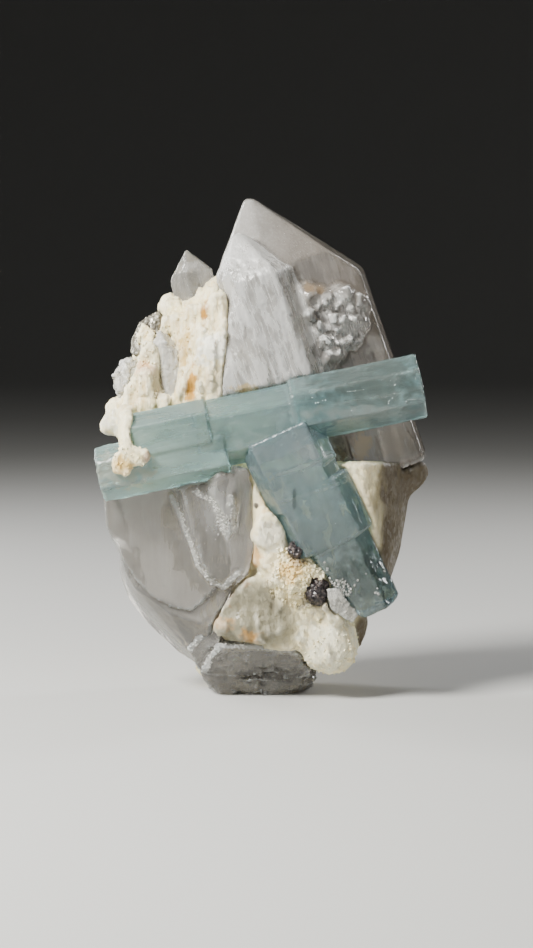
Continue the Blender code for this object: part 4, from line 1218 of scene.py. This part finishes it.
def make_small_quartz(node, title, slot, spacing, axis, broken, frost, depth):
    piece = netted(piece_of(node, title), spacing)
    set_mask(piece.data, "broken", broken + 0.4 * rim_mask(piece.data))
    set_mask(piece.data, "frost", frost)
    set_mask(piece.data, "sparkle", 0.3 * broken)
    carved(
        piece, QUARTZ_FINISHES[slot], axis, seed=31, swell=0.08,
        chip=(1.6, 0.9, depth), crumb=(0.6, 0.5, 0.3), streak=(3.0, 0.5, 0.4 * broken),
    )
    hand_over(piece, node, slot)


for row in SMALL_QUARTZES:
    make_small_quartz(*row)

# %% [markdown]
# ## The feldspar
# The rock that holds everything. Its upper left is fibrous, its middle is sugary, its right is a smooth
# cleaved block and a round warty lump sits at its foot. Its gaps are closed first, because it is one rock and
# not a pile of blocks. One carving run then does it all: the masks say where the rock is broken and where it
# is combed, and for its finish where it is dull and where it is brown, which on its right flank is painted
# shade.

# %% Feldspar
# Places on the rock: centre and radii in millimetres
SUGARY_MIDDLE = ((5.8, -13.0, 18.0), (5.5, 6.0, 6.0))
ROUND_LUMP = ((9.7, -8.4, 8.1), (5.8, 5.8, 5.8))
DRAPE = ((-19.0, -14.0, 37.5), (5.0, 7.0, 7.0))
IVORY_BLOCK = ((1.2, -13.0, 24.0), (4.0, 5.0, 4.5))
GREY_FRONT = ((-2.0, -12.0, 12.5), (10.0, 9.0, 8.0))
BROWN_LUMP = ((14.8, -4.0, 9.0), (3.6, 6.0, 5.0))


def rock_regions(points):
    """Masks of the sugary middle, the round lump and the drape over the aquamarine's end."""
    middle = np.minimum(1, near(points, *SUGARY_MIDDLE) * 1.5)
    return middle, near(points, *ROUND_LUMP), near(points, *DRAPE)


def rock_net():
    """The rock as one skin, evened on its right block only, and swelled at its top and its right horn."""
    piece = gaps_filled(netted(piece_of("feldspar_matrix", "feldspar_rock"), 0.4), 0.45, 0.4)
    netted(piece, 0.315)
    points = points_mm(piece.data)
    x, _, z = points.T
    evened(piece, 2, 1 - ramp(x, 11.5, 14.0) * ramp(z, 9.0, 12.0))
    horn = ramp(x, 12.0, 14.0) * ramp(z, 33.5, 35.5)
    push_out(piece.data, 0.2 * ramp(z, 38.0, 43.0) + 0.3 * horn)
    return piece, points


def mark_rock(mesh, points):
    """Where the rock is broken and combed, where it is dull, and where it is brown, which on the right flank
    is painted shade.
    """
    x, _, z = points.T
    middle, lump, drape = rock_regions(points)
    fibrous = ramp(z, 38.0, 43.0)
    block = ramp(x, 12.5, 15.5) * ramp(z, 9.0, 13.0)
    smooth_block = block * ramp(z, 38.6, 37.0)
    calm = np.maximum.reduce([smooth_block, 0.5 * lump, 0.2 * drape, 0.8 * near(points, *IVORY_BLOCK)])
    set_mask(mesh, "broken", (0.5 + 0.5 * fibrous) * (1 - 0.85 * calm))
    set_mask(mesh, "combed", (0.15 + 0.85 * fibrous) * (1 - 0.7 * drape) * (1 - block))
    set_mask(mesh, "dull", near(points, *GREY_FRONT) * (1 - lump) * (1 - middle))
    # the brown right flank is partly painted shade
    brown_shaded_side = ramp(x, 14.5, 18.5) * ramp(z, 3.0, 9.0)
    set_mask(mesh, "brown_and_shaded", np.maximum(brown_shaded_side, near(points, *BROWN_LUMP)))


def make_feldspar():
    piece, points = rock_net()
    mark_rock(piece.data, points)
    carved(
        piece, cream_feldspar, UPRIGHT, seed=41, stand=TABLE, swell=0.13, relief_mm=0.25, relief_rounds=12,
        chip=(8.0, 1.7, 1.2), crumb=(3.4, 0.7, 0.3), streak=(9.0, 0.6, 0.5), billow=(7.0, 4.0, 0.3),
    )
    hand_over(piece, "feldspar_matrix", "cream_feldspar")
    return piece


rock = make_feldspar()

# %% [markdown]
# ## Sugar on the rock
# Albite grows as a crust of grains under half a millimetre, and broken quartz edges are lined with tiny white
# splinters. Both are grains scattered over a finished surface and left as they are, without the net, so they
# keep their sharp corners and sparkle. All grains of one kind are one mesh, because thousands of separate
# objects would slow Blender down. The rock has coarse sugar in its middle, and fine sugar on the round lump,
# on the fibrous left and on the drape.

# %% Sugar
CRUMBLY_LEFT = ((-14.5, -8.0, 50.0), (6.0, 6.0, 9.0))
DRAPE_SUGAR = ((-19.0, -15.0, 35.5), (5.0, 5.0, 4.5))


def make_sugar(base, title, mask, size_mm, spacing_mm, seed, finish, node, slot):
    """Small crystal grains, joined in one mesh and sunk halfway into the base."""
    grains = new_object(title, base.data.copy())
    crusted(grains, mask, size_mm, spacing_mm, seed, finish, keep_base=False)
    print(f"{title}: {triangle_count(grains.data)} triangles")
    hand_over(grains, node, slot)


def sugar_the_rock():
    points = points_mm(rock.data)
    middle, lump, _ = rock_regions(points)
    crumbly = near(points, *CRUMBLY_LEFT) * ramp(points[:, 1], 0.0, -3.0)
    drape = near(points, *DRAPE_SUGAR)
    target = (cream_feldspar, "feldspar_matrix", "cream_feldspar")
    make_sugar(rock, "albite_sugar", middle, 0.5, 0.4, 17, *target)
    fine = np.maximum.reduce([0.7 * lump, 0.3 * crumbly, 0.3 * drape])
    make_sugar(rock, "fine_sugar", fine, 0.3, 0.36, 18, *target)


sugar_the_rock()

# %% [markdown]
# ## Splinters on the ridges
# On the lower quartz they line its ridges and, where the surface is really an edge, its left rim, and only on
# what faces the front. On the foot they follow its two lines. The slanted aquamarine has a patch of crumbs at
# its lower end, and a few loose ones round it.

# %% Splinters
TOOTH_TIP = ((-5.4, -13.6, 25.6), (1.4, 3.0, 2.6))
CRUMB_PATCH = ((10.8, -13.5, 16.6), (2.4, 4.0, 1.8))


def facing_front(mesh, low, high):
    """1 where the surface looks to the front by at least the second number, and 0 below the first."""
    return ramp(vertex_normals(mesh)[:, 1], low, high)


def splinter_the_lower_quartz():
    mesh = lower_quartz.data
    points = points_mm(mesh)
    edge = np.empty(len(points), np.float32)
    mesh.attributes["edge"].data.foreach_get("value", edge)
    ridges = np.maximum(along(points, BLADE_RIDGE, 0.5), along(points, TOOTH_EDGE, 0.6))
    lines = np.maximum(ridges, along(points, RIM_EDGE, 0.7) * ramp(edge, 0.3, 0.7))
    mask = np.maximum(lines, near(points, *TOOTH_TIP)) * facing_front(mesh, 0.2, -0.2)
    target = (white_quartz, "lower_quartz", "grey_quartz")
    make_sugar(lower_quartz, "ridge_splinters", mask, 0.26, 0.26, 19, *target)


def splinter_the_foot():
    points = points_mm(foot.data)
    mask = np.maximum(along(points, FOOT_RIDGE, 0.6), 0.8 * along(points, FACET_EDGE, 0.45))
    target = (white_quartz, "quartz_foot", "grey_quartz")
    make_sugar(foot, "foot_splinters", mask, 0.26, 0.26, 20, *target)


def crumble_the_aquamarine():
    points = points_mm(slanted.data)
    specks = 0.03 * ramp(points[:, 2], 22.0, 19.0) * facing_front(slanted.data, -0.5, -0.8)
    mask = np.maximum(near(points, *CRUMB_PATCH), specks)
    target = (white_quartz, "slanted_aquamarine", "deep_aquamarine")
    make_sugar(slanted, "aquamarine_crumbs", mask, 0.3, 0.28, 21, *target)


splinter_the_lower_quartz()
splinter_the_foot()
crumble_the_aquamarine()

# %% [markdown]
# ## Mica and the dark grains
# Mica splits into sheets. The book's own flat sides are left, and streaks that run along the sheets cut thin
# steps across it. The two dark grains are chipped all over alike.

# %% Mica and dark grains
MICA_AXIS = (0.35, 0.0, 0.94)


def make_mica():
    piece = netted(piece_of("mica_book", "mica_sheets"), 0.16)
    set_mask(piece.data, "broken", 0.6)
    carved(
        piece, silver_mica, MICA_AXIS, seed=51, swell=0.1,
        chip=(5.0, 0.5, 0.9), crumb=(0.8, 0.5, 0.2), streak=(6.0, 0.35, 0.6),
    )
    hand_over(piece, "mica_book", "silver_mica")


def make_dark_grain(node, title, seed):
    piece = netted(piece_of(node, title), 0.12)
    carved(
        piece, dark_mineral, UPRIGHT, seed=seed, swell=0.12,
        chip=(0.8, 0.8, 0.5), crumb=(0.4, 0.4, 0.25),
    )
    hand_over(piece, node, "dark_mineral")


make_mica()
make_dark_grain("dark_grain_large", "dark_grain_big", 61)
make_dark_grain("dark_grain_small", "dark_grain_little", 62)

# %% [markdown]
# ## The floor
# A pale, plain floor keeps the eye on the crystals, and it is what the clear ones show through their bodies.
# A flat disc whose rim curves up far away has no horizon. Its far parts are out of the lights' reach, which
# leaves a quiet dark ground behind the crystals.

# %% Floor
FLAT_M, RISE_M = 1.3, 2.2
SIDES, RINGS = 96, 24


def floor_loops(shape):
    """Rings of points, from the edge of the flat disc up along a quarter circle."""
    for k in range(RINGS + 1):
        bend = math.pi / 2 * k / RINGS
        radius, height = FLAT_M + RISE_M * math.sin(bend), RISE_M * (1 - math.cos(bend))
        turns = [math.tau * n / SIDES for n in range(SIDES)]
        yield [shape.verts.new((radius * math.cos(t), radius * math.sin(t), height)) for t in turns]


def make_floor():
    shape = bmesh.new()
    loops = list(floor_loops(shape))
    shape.faces.new(loops[0])
    for low, high in zip(loops, loops[1:]):
        for k in range(SIDES):
            shape.faces.new((low[k], high[k], high[(k + 1) % SIDES], low[(k + 1) % SIDES]))
    bmesh.ops.recalc_face_normals(shape, faces=shape.faces)
    mesh = bpy.data.meshes.new("floor")
    shape.to_mesh(mesh)
    shape.free()
    mesh.shade_smooth()
    material, _, shader, _ = new_material("pale floor")
    shader.inputs["Base Color"].default_value = linear(190, 190, 188)
    shader.inputs["Roughness"].default_value = 0.75
    mesh.materials.append(material)
    new_object("floor", mesh)
    print(f"floor: {len(mesh.polygons)} faces, {2 * (FLAT_M + RISE_M):.0f} m across")


make_floor()

# %% [markdown]
# ## The lights
# Clear minerals show themselves by what they bend and reflect, so a warm, soft light stands near them at the
# upper left. A weak one opposite opens the shadows, and a narrow one behind each side draws the edges. The
# world is nearly black, so that the ground stays quiet.

# %% Lights and world
def soft_light(title, place, size, watts, tint=(1.0, 1.0, 1.0)):
    """A rectangular area light that points at the middle of the specimen."""
    lamp = bpy.data.lights.new(title, "AREA")
    lamp.shape = "RECTANGLE"
    lamp.size, lamp.size_y = size
    lamp.energy = watts
    lamp.color = tint
    obj = bpy.data.objects.new(title, lamp)
    obj.location = place
    obj.rotation_euler = (Vector(MIDDLE) - Vector(place)).to_track_quat("-Z", "Y").to_euler()
    bpy.context.scene.collection.objects.link(obj)
    print(f"{title}: {watts} W, {(Vector(MIDDLE) - Vector(place)).length * 100:.0f} cm away")


MIDDLE = (0.0, 0.0, 0.036)
soft_light("key light", (-0.20, -0.18, 0.27), (0.13, 0.13), 4.1, (1.0, 0.985, 0.93))
soft_light("fill light", (0.30, -0.36, 0.16), (0.30, 0.30), 0.35)
soft_light("rim light right", (0.26, 0.22, 0.20), (0.06, 0.24), 0.6)
soft_light("rim light left", (-0.28, 0.20, 0.16), (0.06, 0.24), 1.2)

world = bpy.data.worlds.new("dim studio")
world.use_nodes = True
world.node_tree.nodes["Background"].inputs["Color"].default_value = (0.02, 0.02, 0.02, 1.0)
world.node_tree.nodes["Background"].inputs["Strength"].default_value = 1.0
bpy.context.scene.world = world

# %% [markdown]
# ## The camera
# A short telephoto lens from less than half a metre, tipped down a little. It shows a small stone without
# stretching its near parts.

# %% Camera
CAMERA_DROP_DEG = 4.0
lens = bpy.data.cameras.new("camera")
lens.sensor_width = 36.0
lens.lens = 99.93
lens.clip_start = 0.01
camera = bpy.data.objects.new("camera", lens)
camera.location = (0.00066, -0.38606, 0.05890)
camera.rotation_euler = (math.radians(90 - CAMERA_DROP_DEG), 0.0, 0.0)
bpy.context.scene.collection.objects.link(camera)
bpy.context.scene.camera = camera
print(f"camera: {lens.lens:.0f} mm lens, {-camera.location.y * 100:.0f} cm in front")
